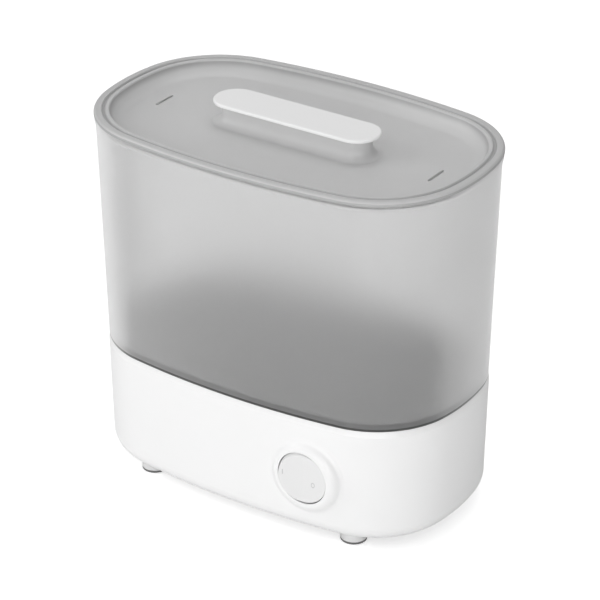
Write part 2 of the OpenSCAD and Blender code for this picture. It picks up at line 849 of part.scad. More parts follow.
// Three flat blades at the back of the contact box
module switch_terminals() color("gold") at_switch()
    for (y = [-pole_pitch, 0, pole_pitch]) translate([0, y, 0]) rotate(90)
        blade(-plate_back - box_depth - 9, -plate_back - box_depth);

module switch_screws() color("silver") at_switch()
    both_sides(tab_reach) screw(-plate_back, plate_back - plate_front + short_bite);

module rocker_pin() color("silver") at_switch()
    translate([0, 0, -pivot_depth]) rotate([90, 0, 0])
        cylinder(h = 2 * pin_reach, r = pin_radius, center = true);

// The cap's section across the pivot, set back by a wall: two slopes that meet
// in a shallow valley
module cap_face(back) {
    face_radius = sqrt(cap_radius^2 - cap_front^2);
    wide = cap_radius + 2;
    valley = cap_front - face_radius * tan(cap_slope) - back;
    rotate([90, 0, 0]) linear_extrude(2 * wide, center = true) polygon([
        [-wide, pivot_depth - cap_skirt],
        [wide, pivot_depth - cap_skirt],
        [wide, valley + wide * tan(cap_slope)],
        [0, valley],
        [-wide, valley + wide * tan(cap_slope)]]);
}

// Rocker at rest, leaning with its left edge out
module rocker() color("whitesmoke") at_switch()
    translate([0, 0, -pivot_depth]) rotate([0, rocker_lean, 0]) {
        lug = pin_radius + 1.7;
        difference() {
            intersection() {
                sphere(cap_radius);
                cap_face(0);
            }
            intersection() {
                sphere(cap_radius - cap_wall);
                union() {
                    cap_face(cap_wall);
                    translate([-cap_radius, -cap_radius, pivot_depth - 2 * cap_skirt])
                        cube([2 * cap_radius, 2 * cap_radius, cap_skirt + 0.01]);
                }
            }
        }
        // two lugs and the finger that works the contacts, all on the pin
        difference() {
            for (y = [-lug_spacing, 0, lug_spacing]) translate([0, y, 0]) {
                rotate([90, 0, 0]) cylinder(h = lug_width, r = lug, center = true);
                translate([-lug, -lug_width / 2, 0])
                    cube([2 * lug, lug_width, cap_front - cap_wall - overlap]);
                if (y == 0) translate([-finger_thick / 2, -lug_width / 2, -finger_length])
                    cube([finger_thick, lug_width, finger_length]);
            }
            rotate([90, 0, 0])
                cylinder(h = 30, r = pin_radius + pin_clearance, center = true);
        }
    }

// ---- Cord gland and terminals ----

// A bush with a flange and a sleeve outside the wall, and a snap ring inside it
module cord_gland() color("silver")
    translate([0, gland_seat, gland_z]) rotate([-90, 0, 0]) difference() {
        pad_depth = gland_inner - gland_seat;
        snap_width = 3;
        union() {
            rod(gland_flange, 0, gland_brim);
            translate([0, 0, gland_brim - overlap])
                cylinder(h = gland_sleeve - gland_brim + overlap,
                    r1 = cord_radius + 1.5 * sleeve_wall, r2 = cord_radius + sleeve_wall);
            rod(gland_neck, pad_depth - snap_width, overlap);
            rod(gland_neck + 1.6, pad_depth - snap_width, pad_depth - 0.1);
        }
        rod(cord_radius, 0, gland_sleeve + 1);
        rod(lead_radius, pad_depth - snap_width - 1, 1);
    }

// Screw terminals on the bottom cover, where the leads meet
module terminal_block() color("white")
    translate([0, gland_inner - block_back, cover_top]) difference() {
        translate([-block_length / 2, -block_width / 2, 0])
            cube([block_length, block_width, block_height]);
        for (x = [-pole_pitch, 0, pole_pitch]) translate([x, 0, block_height / 2]) {
            rotate([90, 0, 0]) cylinder(h = block_width + 2, r = 2, center = true);
            for (s = [-1, 1]) translate([0, s * block_width / 4, 0])
                cylinder(h = block_height, r = 1.8);
        }
    }

// ---- Tub ----

module tub_section() {
    bead_foot = tub_top - bead_height;
    polygon([
        [-tub_inset_foot, seam_z],
        [-tub_inset_top, tub_top],
        [-tub_inset_top - tub_wall, tub_top],
        [-tub_inset_foot - tub_wall, seam_z]]);
    polygon([
        [-tub_inset_top - tub_wall / 2, bead_foot - bead_proud],
        [-tub_inset_top, bead_foot - bead_proud],
        [-tub_inset_top + bead_proud, bead_foot],
        [-tub_inset_top + bead_proud, tub_top],
        [-tub_inset_top - tub_wall / 2, tub_top]]);
    translate([-basin_inset - spigot_gap - tub_wall, seam_z - spigot_depth])
        square([tub_wall, spigot_depth + floor_lift + overlap]);
}

// Half length of a steam slot at x, so that the field follows the tub's outline
function slot_far(x) = outline_y(x, -tub_inset_foot - slot_margin);

module tub() color("silver") {
    slot_steps = floor(slot_reach / slot_pitch);
    oval_sweep() tub_section();
    translate([0, 0, seam_z + floor_lift]) linear_extrude(tub_wall) difference() {
        oval(-tub_inset_foot - overlap);
        for (i = [-slot_steps:slot_steps], s = [-1, 1]) {
            far = slot_far(i * slot_pitch);
            translate([i * slot_pitch, s * (far + slot_bar / 2) / 2])
                slot2d(far - slot_bar / 2, slot_width);
        }
    }
}

// ---- Lid ----

module lid_section() {
    cove = [-panel_inset, panel_z + cove_radius];
    flange_low = rim_z - lid_flange;
    ridge_edge = 1;
    ridge_lean = 1.5;
    ridge_foot = flange_low - ridge_edge;
    difference() {
        union() {
            polygon([
                [0, flange_low],
                [0, rim_z - lid_edge],
                [-lid_edge, rim_z],
                [-ridge_inset + ridge_edge, rim_z],
                [-ridge_inset, rim_z - ridge_edge],
                [-ridge_inset - ridge_lean, ridge_foot],
                [-ridge_inset + lid_wall, flange_low - ridge_edge],
                [-ridge_inset + 2 * lid_wall, flange_low]]);
            translate([-lid_edge, rim_z - lid_edge]) intersection() {
                circle(lid_edge);
                square(lid_edge);
            }
            translate([-ridge_inset + ridge_edge, rim_z - ridge_edge]) circle(ridge_edge);
            intersection() {
                translate(cove) circle(cove_radius + lid_wall);
                translate([-panel_inset, panel_under])
                    square([2 * cove_radius, flange_low - panel_under]);
            }
            translate([-panel_inset - 2 * overlap, panel_under])
                square([2 * overlap, lid_wall]);
            // skirt that centres the lid in the tub
            translate([-tub_inset_top - tub_wall - skirt_gap - skirt_thick, rim_z - skirt_depth])
                square([skirt_thick, skirt_depth - lid_flange + overlap]);
        }
        // groove around the flange
        translate([-groove_inset, rim_z]) polygon([
            [0, 1],
            [0, 0],
            [-groove_depth / 3, -groove_depth],
            [-groove_width + groove_depth / 3, -groove_depth],
            [-groove_width, 0],
            [-groove_width, 1]]);
        // cove from the ridge down to the panel
        intersection() {
            translate(cove) circle(cove_radius);
            translate([-panel_inset, panel_z - 1]) square([2 * cove_radius, cove_radius + 1]);
        }
    }
}

module lid() color("darkgray") difference() {
    union() {
        oval_sweep() lid_section();
        translate([0, 0, panel_under]) linear_extrude(lid_wall) oval(-panel_inset - overlap);
        pill_sweep(pill_straight) {
            translate([0, panel_under]) square([pill_radius, handle_under - panel_under]);
            difference() {
                translate([0, panel_under])
                    square([pill_radius + pedestal_fillet, panel_z + pedestal_fillet - panel_under]);
                translate([pill_radius + pedestal_fillet, panel_z + pedestal_fillet])
                    circle(pedestal_fillet);
            }
        }
    }
    // the pedestal is hollow from below
    pill_sweep(pill_straight) translate([0, panel_under - 1])
        square([pill_radius - lid_wall, roof_under - panel_under + 1]);
    // steam slits
    both_sides(slit_x) translate([0, 0, panel_under - 1])
        linear_extrude(lid_wall + 2) slot2d(slit_length, slit_width);
    // holes for the handle's bosses
    both_sides(handle_screw_x) rod(boss_radius + seat_gap, roof_under - 1, handle_under + 1);
}

module handle_plate() color("white") difference() {
    union() {
        pill_sweep(pill_straight) {
            translate([0, handle_under]) square([handle_width / 2, handle_thick - handle_edge]);
            translate([0, handle_under]) square([handle_width / 2 - handle_edge, handle_thick]);
            translate([handle_width / 2 - handle_edge, handle_top - handle_edge])
                circle(handle_edge);
        }
        both_sides(handle_screw_x) rod(boss_radius, roof_under, handle_under + overlap);
    }
    both_sides(handle_screw_x) rod(screw_radius + free, roof_under - 1, handle_top - 1);
}

module handle_screws() color("silver")
    both_sides(handle_screw_x)
        screw(roof_under, pedestal_roof + handle_thick - 1.2, head = handle_screw_head);

base_shell();
bottom_cover();
foot_pads();
case_screws();
heating_plate();
plate_seal();
clamp_ring();
clamp_screws();
heat_spreader();
heating_element();
thermostat();
thermostat_bracket();
bracket_screws();
thermal_fuse();
fuse_clip();
switch_housing();
switch_terminals();
switch_screws();
rocker();
rocker_pin();
cord_gland();
terminal_block();
tub();
lid();
handle_plate();
handle_screws();
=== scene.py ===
# %% [markdown]
# # An oval steam steriliser for baby bottles
# The engineering model arrives as a fixed frame: every piece is already at its real place and size,
# in metres, with +Z up and the front towards -Y. This notebook dresses it. It remakes the shells
# that show as smooth meshes with their small roundings, gives every surface a finish, and sets up a
# small white studio.

# %% Load the frame
import math

import bmesh
import bpy
from bmesh.types import BMEdge, BMVert
from mathutils import Matrix, Vector


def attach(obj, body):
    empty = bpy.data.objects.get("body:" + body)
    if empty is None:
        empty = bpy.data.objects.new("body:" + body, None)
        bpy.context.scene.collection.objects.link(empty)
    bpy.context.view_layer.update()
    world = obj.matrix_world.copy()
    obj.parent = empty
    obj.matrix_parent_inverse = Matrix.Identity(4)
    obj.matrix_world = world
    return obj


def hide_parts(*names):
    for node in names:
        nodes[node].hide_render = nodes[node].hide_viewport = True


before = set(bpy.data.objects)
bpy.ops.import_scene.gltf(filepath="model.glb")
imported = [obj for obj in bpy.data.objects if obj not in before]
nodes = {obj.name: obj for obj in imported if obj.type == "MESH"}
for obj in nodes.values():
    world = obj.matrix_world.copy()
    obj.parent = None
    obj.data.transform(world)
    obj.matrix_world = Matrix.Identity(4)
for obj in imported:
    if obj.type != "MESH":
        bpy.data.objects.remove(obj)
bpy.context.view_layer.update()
MM = 0.001

# %% [markdown]
# ## The camera
# The camera comes first, because it decides which surfaces have to be finest. A long lens far away
# flattens the perspective, as product pictures do. It looks at a point a little above mid height,
# from the front right and well above the lid.

# %% Camera
AZIMUTH, ELEVATION, DISTANCE = 33.8, 27.9, 1.962
TARGET = Vector((0.00195, 0.00131, 0.1361))
LENS, SENSOR = 168.7, 36.0


def heading(azimuth, elevation):
    """A unit vector from angles in degrees; the azimuth runs from the front to the right."""
    a, e = math.radians(azimuth), math.radians(elevation)
    return Vector((math.sin(a) * math.cos(e), -math.cos(a) * math.cos(e), math.sin(e)))


def new_object(name, data):
    """Puts an object with this mesh, lamp or camera into the scene."""
    made = bpy.data.objects.new(name, data)
    bpy.context.scene.collection.objects.link(made)
    return made


camera_data = bpy.data.cameras.new("camera")
camera_data.lens = LENS
camera_data.sensor_width = SENSOR
camera = new_object("camera", camera_data)
away = heading(AZIMUTH, ELEVATION)
camera.location = TARGET + away * DISTANCE
camera.rotation_euler = (-away).to_track_quat("-Z", "Y").to_euler()
bpy.context.scene.camera = camera
print("camera at", [round(v, 3) for v in camera.location])

# %% [markdown]
# ## The outline that everything follows
# Base, tub and lid share one oval: eight arcs that meet smoothly. Two flat arcs make the long
# sides, two tighter ones the ends, and four small ones the corners. An arc keeps its centre when
# the outline is drawn in or out, so any section can be swept round by spinning it about the eight
# centres in turn. The radii follow from the overall size, the corner radius and two half angles.

# %% The oval's centres and radii
OVAL_LENGTH, OVAL_WIDTH, CORNER = 290.0, 177.0, 69.0
SIDE_HALF, END_HALF = math.radians(8.26), math.radians(9.32)
side_turn, end_turn = 1 - math.cos(SIDE_HALF), 1 - math.cos(END_HALF)
spread = math.sin(SIDE_HALF) * math.sin(END_HALF) - end_turn * side_turn
long_reach, short_reach = OVAL_LENGTH / 2 - CORNER, OVAL_WIDTH / 2 - CORNER
side_reach = (long_reach * math.sin(END_HALF) - short_reach * end_turn) / spread
end_reach = (short_reach * math.sin(SIDE_HALF) - long_reach * side_turn) / spread
SIDE_RADIUS, END_RADIUS = side_reach + CORNER, end_reach + CORNER
SIDE_SHIFT, END_SHIFT = SIDE_RADIUS - OVAL_WIDTH / 2, END_RADIUS - OVAL_LENGTH / 2
CORNER_X, CORNER_Y = side_reach * math.sin(SIDE_HALF), end_reach * math.sin(END_HALF)
CORNER_SPAN = math.pi / 2 - SIDE_HALF - END_HALF
print("side radius", round(SIDE_RADIUS, 1), "end radius", round(END_RADIUS, 1), "mm")


def outline_y(x, off):
    """Distance of the outline from the middle plane at x, drawn out by off, all in mm."""
    if abs(x) < (SIDE_RADIUS + off) * math.sin(SIDE_HALF):
        return math.sqrt((SIDE_RADIUS + off) ** 2 - x * x) - SIDE_SHIFT
    return CORNER_Y + math.sqrt(max((CORNER + off) ** 2 - (abs(x) - CORNER_X) ** 2, 0))


# %% [markdown]
# ## Sweeping with spins
# A section is a row of points (offset from the oval, height). The row starts where the front side's
# arc begins, and each spin carries on from the last ring that the spin before it made. The pill of
# the handle is swept in the same way, round two half turns and along two straight runs.

# %% Section and sweep helpers
SIDE_STEPS, END_STEPS, CORNER_STEPS, PILL_STEPS = 28, 12, 32, 40
PILL_STRAIGHT = 97.5
SWEEP_WELD, FINAL_WELD = 1e-3, 1e-4


def arc(centre, radius, start, end, steps):
    """Points of a circular arc in the section plane, from one angle to another in degrees."""
    turns = [math.radians(start + (end - start) * i / steps) for i in range(steps + 1)]
    return [(centre[0] + radius * math.cos(t), centre[1] + radius * math.sin(t)) for t in turns]


def only(geom, *kinds):
    """The items of an operator's result that are of these kinds."""
    return [item for item in geom if isinstance(item, kinds)]


def section_row(bm, points, closed=False):
    """Adds a section's points, joined by edges, and returns them with their edges."""
    verts = [bm.verts.new(p) for p in points]
    pairs = list(zip(verts, verts[1:])) + ([(verts[-1], verts[0])] if closed else [])
    return verts + [bm.edges.new(pair) for pair in pairs]


def turn(bm, row, centre, angle, steps):
    """Spins a row about a vertical line and returns the ring where it ends."""
    made = bmesh.ops.spin(bm, geom=row, cent=(centre[0], centre[1], 0), axis=(0, 0, 1),
                          angle=angle, steps=steps, use_merge=False)
    return made["geom_last"]


def close_and_face_out(bm):
    """Welds the seams and turns every face outwards."""
    bmesh.ops.remove_doubles(bm, verts=bm.verts, dist=FINAL_WELD)
    bmesh.ops.recalc_face_normals(bm, faces=bm.faces)


def oval_sweep(bm, section):
    """Sweeps a section of (offset, height) points once round the oval, in mm."""
    start = -math.pi / 2 - SIDE_HALF
    row = section_row(bm, [((SIDE_RADIUS + off) * math.cos(start),
                            SIDE_SHIFT + (SIDE_RADIUS + off) * math.sin(start), z)
                           for off, z in section])
    for s in (1, -1):
        row = turn(bm, row, (0, s * SIDE_SHIFT), 2 * SIDE_HALF, SIDE_STEPS)
        row = turn(bm, row, (s * CORNER_X, -s * CORNER_Y), CORNER_SPAN, CORNER_STEPS)
        row = turn(bm, row, (-s * END_SHIFT, 0), 2 * END_HALF, END_STEPS)
        row = turn(bm, row, (s * CORNER_X, s * CORNER_Y), CORNER_SPAN, CORNER_STEPS)
    bmesh.ops.remove_doubles(bm, verts=bm.verts, dist=SWEEP_WELD)


def pill_sweep(bm, section):
    """Sweeps a section of (distance, height) points round a pill that lies along X, in mm."""
    row = section_row(bm, [(PILL_STRAIGHT / 2, -off, z) for off, z in section])
    for s in (1, -1):
        row = turn(bm, row, (s * PILL_STRAIGHT / 2, 0), math.pi, PILL_STEPS)
        grown = bmesh.ops.extrude_edge_only(bm, edges=only(row, BMEdge))
        row = only(grown["geom"], BMVert, BMEdge)
        bmesh.ops.translate(bm, verts=only(row, BMVert), vec=(-s * PILL_STRAIGHT, 0, 0))
    bmesh.ops.remove_doubles(bm, verts=bm.verts, dist=SWEEP_WELD)


print("steps once round the oval:", 2 * (SIDE_STEPS + END_STEPS + 2 * CORNER_STEPS))

# %% [markdown]
# ## From a bmesh to a piece
# Every new piece ends the same way. It is scaled from millimetres to metres, so its object can sit
# at the origin unscaled. Edges sharper than a limit are marked sharp, and the rest shade smooth.
# The Weighted Normal modifier lets the large flat faces decide the normals that they share with a
# small rounding, which keeps broad surfaces free of smears.

# %% Finish a piece
LEVEL_TOLERANCE, SLOT_STEPS = 0.01, 10


def make_piece(name, bm, body, material, replaced=(), sharp=30):
    """Turns a bmesh in mm into an object in metres that rides on a body."""
    bmesh.ops.scale(bm, verts=bm.verts, vec=(MM, MM, MM))
    mesh = bpy.data.meshes.new(name)
    bm.to_mesh(mesh)
    bm.free()
    mesh.polygons.foreach_set("use_smooth", [True] * len(mesh.polygons))
    mesh.set_sharp_from_angle(angle=math.radians(sharp))
    mesh.materials.append(material)
    piece = new_object(name, mesh)
    weigh = piece.modifiers.new("weighted normals", "WEIGHTED_NORMAL")
    weigh.keep_sharp = True
    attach(piece, body)
    if replaced:
        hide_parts(*replaced)
    print(name, "on", body, "-", len(mesh.vertices), "points,", len(mesh.polygons), "faces")


def fill_flat(bm, height):
    """Fills the flat region between all open rims at a height, leaving the holes open."""
    rims = [e for e in bm.edges if len(e.link_faces) < 2
            and all(abs(v.co.z - height) < LEVEL_TOLERANCE for v in e.verts)]
    bmesh.ops.triangle_fill(bm, use_beauty=True, use_dissolve=False, edges=rims,
                            normal=(0, 0, 1))


def slot_wall(bm, centre, length, width, low, high):
    """The upright wall of a hole with round ends that lies along Y."""
    half = (length - width) / 2
    points = [(centre[0] + width / 2 * math.cos(t), centre[1] + s * half + width / 2 * math.sin(t))
              for s, begin in ((1, 0), (-1, math.pi))
              for t in (begin + math.pi * i / SLOT_STEPS for i in range(SLOT_STEPS + 1))]
    rim = [bm.verts.new((x, y, low)) for x, y in points]
    edges = [bm.edges.new(pair) for pair in zip(rim, rim[1:] + rim[:1])]
    grown = bmesh.ops.extrude_edge_only(bm, edges=edges)
    bmesh.ops.translate(bm, verts=only(grown["geom"], BMVert), vec=(0, 0, high - low))


# %% [markdown]
# ## One way to write a material
# Moulded plastic is never one flat colour: it has a faint cloudiness from the way that the melt
# flowed, a fine skin texture from the tool's surface, and a little dust and rubbing. One node group
# holds these, and each plastic sets its own amounts. The group puts out a colour, a roughness and a
# normal, and everything that is the same all over stays a plain number on the shader.

# %% Node helpers
COLOUR, VALUE, VECTOR = "NodeSocketColor", "NodeSocketFloat", "NodeSocketVector"


def new_group(name, inputs, outputs):
    """A shader node group with named sockets, as {name: (type, default)}."""
    group = bpy.data.node_groups.new(name, "ShaderNodeTree")
    for in_out, sockets in (("INPUT", inputs), ("OUTPUT", outputs)):
        for label, (kind, default) in sockets.items():
            socket = group.interface.new_socket(label, in_out=in_out, socket_type=kind)
            if default is not None:
                socket.default_value = default
    return group, group.nodes.new("NodeGroupInput"), group.nodes.new("NodeGroupOutput")


def add(tree, kind, **settings):
    """Adds a node and sets its properties and its inputs, by name."""
    node = tree.nodes.new(kind)
    for key, value in settings.items():
        if hasattr(node, key):
            setattr(node, key, value)
        else:
            node.inputs[key.replace("_", " ").title()].default_value = value
    return node


def wire(tree, *pairs):
    """Links (output, input) pairs."""
    for source, target in pairs:
        tree.links.new(source, target)


def step_node(tree, operation, *values):
    """A Math node; each value is a socket or a number."""
    node = add(tree, "ShaderNodeMath", operation=operation)
    for socket, value in zip(node.inputs, values):
        if isinstance(value, (int, float)):
            socket.default_value = value
        else:
            wire(tree, (value, socket))
    return node.outputs[0]


# %% What the skins share
SKIN_OUTPUTS = {"Colour": (COLOUR, None), "Roughness": (VALUE, None), "Normal": (VECTOR, None)}
BUMP_DISTANCE = 0.0001


def blend(group, amount, first, second, out):
    """Blends the first colour to the second by an amount and hands it on as the Colour."""
    mix = add(group, "ShaderNodeMix", data_type="RGBA")
    # The Mix node's colours are its inputs 6 and 7 and its output 2.
    wire(group, (amount, mix.inputs[0]), (first, mix.inputs[6]), (second, mix.inputs[7]),
         (mix.outputs[2], out.inputs["Colour"]))


def spread_roughness(group, into, out, mask, begin, full):
    """Runs the roughness from below to above its value as the mask goes from begin to full."""
    reach = add(group, "ShaderNodeMapRange", from_min=begin, from_max=full)
    for label, operation in (("To Min", "SUBTRACT"), ("To Max", "ADD")):
        limit = step_node(group, operation, into.outputs["Roughness"],
                          into.outputs["Roughness Spread"])
        wire(group, (limit, reach.inputs[label]))
    wire(group, (mask, reach.inputs["Value"]), (reach.outputs[0], out.inputs["Roughness"]))


def raise_skin(group, height, depth, out):
    """Bumps the surface by a height, as strongly as the depth socket says."""
    bump = add(group, "ShaderNodeBump", distance=BUMP_DISTANCE)
    wire(group, (height, bump.inputs["Height"]), (depth, bump.inputs["Strength"]),
         (bump.outputs["Normal"], out.inputs["Normal"]))


print("every skin puts out:", ", ".join(SKIN_OUTPUTS))

# %% Moulded surface group
moulded, into, out = new_group("moulded skin", {
    "Colour": (COLOUR, (0.8, 0.8, 0.8, 1)), "Cloud Colour": (COLOUR, (0.75, 0.75, 0.75, 1)),
    "Cloud Size": (VALUE, 20), "Roughness": (VALUE, 0.4), "Roughness Spread": (VALUE, 0.08),
    "Grain Size": (VALUE, 1500), "Grain Depth": (VALUE, 0.05),
}, SKIN_OUTPUTS)
spot = add(moulded, "ShaderNodeTexCoord").outputs["Object"]
cloud = add(moulded, "ShaderNodeTexNoise", detail=3.0, roughness=0.55)
grain = add(moulded, "ShaderNodeTexNoise", detail=2.0, roughness=0.5)
wire(moulded,
     (spot, cloud.inputs["Vector"]), (into.outputs["Cloud Size"], cloud.inputs["Scale"]),
     (spot, grain.inputs["Vector"]), (into.outputs["Grain Size"], grain.inputs["Scale"]))
blend(moulded, cloud.outputs["Fac"], into.outputs["Colour"], into.outputs["Cloud Colour"], out)
spread_roughness(moulded, into, out, cloud.outputs["Fac"], 0.0, 1.0)
raise_skin(moulded, grain.outputs["Fac"], into.outputs["Grain Depth"], out)
print("group", moulded.name, "with", len(moulded.nodes), "nodes")


# %% Plastic from the group
TUB_CLEARNESS, LID_CLEARNESS = 0.88, 0.35


def srgb(grey, tint=(0, 0, 0)):
    """A linear colour from a display grey of 0 to 255, with a small shift per channel."""
    parts = [(grey + t) / 255 for t in tint]
    return tuple(p / 12.92 if p <= 0.04045 else ((p + 0.055) / 1.055) ** 2.4 for p in parts) + (1,)


def shader_inputs(material):
    """The inputs of a material's Principled BSDF."""
    return material.node_tree.nodes["Principled BSDF"].inputs


def skinned(name, group, values):
    """A material whose look comes from a group with these values; returns the group's node too."""
    material = bpy.data.materials.new(name)
    material.use_nodes = True
    skin = material.node_tree.nodes.new("ShaderNodeGroup")
    skin.node_tree = group
    for label, value in values.items():
        skin.inputs[label].default_value = value
    for output, label in (("Colour", "Base Color"), ("Roughness", "Roughness"),
                          ("Normal", "Normal")):
        wire(material.node_tree, (skin.outputs[output], shader_inputs(material)[label]))
    return material, skin


def plastic(name, colour, cloud_colour, roughness, spread_by=0.05, cloud_size=18.0,
            grain_size=1400.0, grain_depth=0.06, **shader):
    """A plastic on the moulded group; shader holds plain values for the Principled BSDF."""
    material, _ = skinned(name, moulded, {
        "Colour": colour, "Cloud Colour": cloud_colour, "Cloud Size": cloud_size,
        "Roughness": roughness, "Roughness Spread": spread_by, "Grain Size": grain_size,
        "Grain Depth": grain_depth})
    for label, value in shader.items():
        shader_inputs(material)[label.replace("_", " ")].default_value = value
    return material


white_plastic = plastic("white_plastic", srgb(246), srgb(243), 0.34, IOR=1.49)
rocker_plastic = plastic("rocker_plastic", srgb(234), srgb(230), 0.30, IOR=1.49)
mark_ink = plastic("mark_ink", srgb(205), srgb(200), 0.45, IOR=1.49)
frosted_plastic = plastic("frosted_plastic", srgb(241), srgb(238), 0.32, IOR=1.49,
                          Transmission_Weight=TUB_CLEARNESS, Sheen_Weight=0.8,
                          Sheen_Roughness=0.35)
lid_plastic = plastic("lid_plastic", srgb(232), srgb(228), 0.36, IOR=1.49,
                      Transmission_Weight=LID_CLEARNESS)
handle_plastic = plastic("handle_plastic", srgb(248), srgb(245), 0.32, IOR=1.49)
cover_plastic = plastic("cover_plastic", srgb(226), srgb(219), 0.42, cloud_size=24, IOR=1.49)
foot_rubber = plastic("foot_rubber", srgb(112), srgb(98), 0.78, spread_by=0.1, cloud_size=90,
                      grain_size=2600, grain_depth=0.3, IOR=1.5)
seal_silicone = plastic("seal_silicone", srgb(205), srgb(192), 0.5, cloud_size=60, grain_size=900,
                        grain_depth=0.12, IOR=1.41, Transmission_Weight=0.25)
switch_plastic = plastic("switch_plastic", srgb(58), srgb(50), 0.4, cloud_size=70,
                         grain_depth=0.12, IOR=1.52)
gland_plastic = plastic("gland_plastic", srgb(206), srgb(198), 0.55, cloud_size=60,
                        grain_depth=0.16, IOR=1.5)
block_plastic = plastic("block_plastic", srgb(228, (4, 2, -8)), srgb(220, (4, 1, -10)), 0.45,
                        cloud_size=70, IOR=1.53)
thermostat_body = plastic("thermostat_body", srgb(74, (8, 0, -6)), srgb(62, (8, 0, -6)), 0.42,
                          cloud_size=110, grain_depth=0.14, IOR=1.55)
print("plastics:", len(bpy.data.materials))

# %% [markdown]
# ## Painted shade and light on the frosted plastic
# Masks made from the place on the piece find zones: the height, and the distance from the handle's
# pill-shaped middle. Each mask blends the surface's colour to another, and these colours are
# painted shade and light. A band of painted shade darkens the upper side of the lid's hollow, and
# it ends at the rim, which takes back nearly the lid's own colour. Round the pedestal and in its
# foot fillet, a painted tone lifts the shade that falls under the handle, and there no light goes
# through the lid. A band of painted shade darkens the foot of the tub where it meets the base.
# Seen edge-on, light goes a long way through the tub's wall, so there it looks more solid.

# %% Blend zones
def read_place(tree):
    """The place on the piece as three numbers."""
    axes = add(tree, "ShaderNodeSeparateXYZ")
    wire(tree, (add(tree, "ShaderNodeTexCoord").outputs["Object"], axes.inputs[0]))
    return axes.outputs


def zone_group(name, measure):
    """A group that blends to Zone Colour as a measured length runs from Begin to Full."""
    group, into, out = new_group(name, {
        "Colour": (COLOUR, (0.7, 0.7, 0.7, 1)), "Zone Colour": (COLOUR, (0.9, 0.9, 0.9, 1)),
        "Begin": (VALUE, 0.0), "Full": (VALUE, 0.01),
    }, {"Colour": (COLOUR, None), "Amount": (VALUE, None)})
    reach = add(group, "ShaderNodeMapRange", interpolation_type="SMOOTHSTEP")
    wire(group, (measure(group), reach.inputs["Value"]),
         (into.outputs["Begin"], reach.inputs["From Min"]),
         (into.outputs["Full"], reach.inputs["From Max"]),
         (reach.outputs[0], out.inputs["Amount"]))
    blend(group, reach.outputs[0], into.outputs["Colour"], into.outputs["Zone Colour"], out)
    return group


def pill_distance(tree):
    """Distance from the straight middle line of the handle, in metres."""
    x, y, _ = read_place(tree)
    past = step_node(tree, "MAXIMUM", step_node(tree, "SUBTRACT", step_node(tree, "ABSOLUTE", x),
                                                PILL_STRAIGHT / 2 * MM), 0.0)
    return step_node(tree, "SQRT", step_node(tree, "ADD", step_node(tree, "MULTIPLY", past, past),
                                             step_node(tree, "MULTIPLY", y, y)))


height_zone = zone_group("height zone", lambda tree: read_place(tree)["Z"])
pill_zone = zone_group("pill zone", pill_distance)


def clear_when_faced(material, faced, edge_on):
    """Sets how much light goes through where the wall is faced and where it is seen edge-on."""
    tree = material.node_tree
    reach = add(tree, "ShaderNodeMapRange", interpolation_type="SMOOTHSTEP", from_min=0.25,
                from_max=0.8, to_min=faced, to_max=edge_on)
    wire(tree, (add(tree, "ShaderNodeLayerWeight").outputs["Facing"], reach.inputs["Value"]),
         (reach.outputs[0], shader_inputs(material)["Transmission Weight"]))


def add_zone(material, group, colour, begin, full):
    """Puts a zone between a material's colour and its shader, and returns its node."""
    tree = material.node_tree
    target = shader_inputs(material)["Base Color"]
    zone = tree.nodes.new("ShaderNodeGroup")
    zone.node_tree = group
    for label, value in (("Zone Colour", colour), ("Begin", begin), ("Full", full)):
        zone.inputs[label].default_value = value
    wire(tree, (target.links[0].from_socket, zone.inputs["Colour"]),
         (zone.outputs["Colour"], target))
    return zone


# Painted shade on the hollow's upper side, the rim back near the lid's tone, painted light on the
# pedestal, and last painted shade at the foot of the tub.
add_zone(lid_plastic, height_zone, srgb(200), 0.2645, 0.2690)
add_zone(lid_plastic, height_zone, srgb(230), 0.2690, 0.2696)
# Painted light: near the pedestal a set tone lifts the shade under the handle, and no light goes
# through.
pedestal_painted_light = add_zone(lid_plastic, pill_zone, srgb(209), 0.0190, 0.0155)
solid = add(lid_plastic.node_tree, "ShaderNodeMapRange", to_min=LID_CLEARNESS, to_max=0.0)
wire(lid_plastic.node_tree, (pedestal_painted_light.outputs["Amount"], solid.inputs["Value"]),
     (solid.outputs[0], shader_inputs(lid_plastic)["Transmission Weight"]))
# Painted shade: a dark band at the foot of the tub where it meets the base.
add_zone(frosted_plastic, height_zone, srgb(135), 0.1001, 0.0994)
clear_when_faced(frosted_plastic, TUB_CLEARNESS, 0.32)
print("zones:", height_zone.name, "and", pill_zone.name)

# %% [markdown]
# ## Metals
# Three kinds of metal sit under the tub and inside the housing. The heating plate was turned, so
# fine rings run round its middle. Brackets, screws and terminals are rolled or plated and have
# straight marks. The ring and the spreader are die cast and have a dull skin without a direction.
# One group holds the stains and the marks for all of them, and the material hands it the place to
# read the marks from: the distance from the axis, a stretched place, or the plain one.

# %% Metal surface group
metal_skin, into, out = new_group("metal skin", {
    "Marks": (VECTOR, None), "Colour": (COLOUR, (0.6, 0.6, 0.6, 1)),
    "Stain Colour": (COLOUR, (0.5, 0.5, 0.5, 1)), "Stain Size": (VALUE, 40),
    "Roughness": (VALUE, 0.3), "Roughness Spread": (VALUE, 0.1), "Mark Depth": (VALUE, 0.2),
}, SKIN_OUTPUTS)
spot = add(metal_skin, "ShaderNodeTexCoord").outputs["Object"]
stain = add(metal_skin, "ShaderNodeTexNoise", detail=4.0, roughness=0.6)
marks = add(metal_skin, "ShaderNodeTexNoise", detail=3.0, roughness=0.65, scale=1.0)
wire(metal_skin, (spot, stain.inputs["Vector"]),
     (into.outputs["Stain Size"], stain.inputs["Scale"]),
     (into.outputs["Marks"], marks.inputs["Vector"]))
blend(metal_skin, stain.outputs["Fac"], into.outputs["Colour"], into.outputs["Stain Colour"], out)
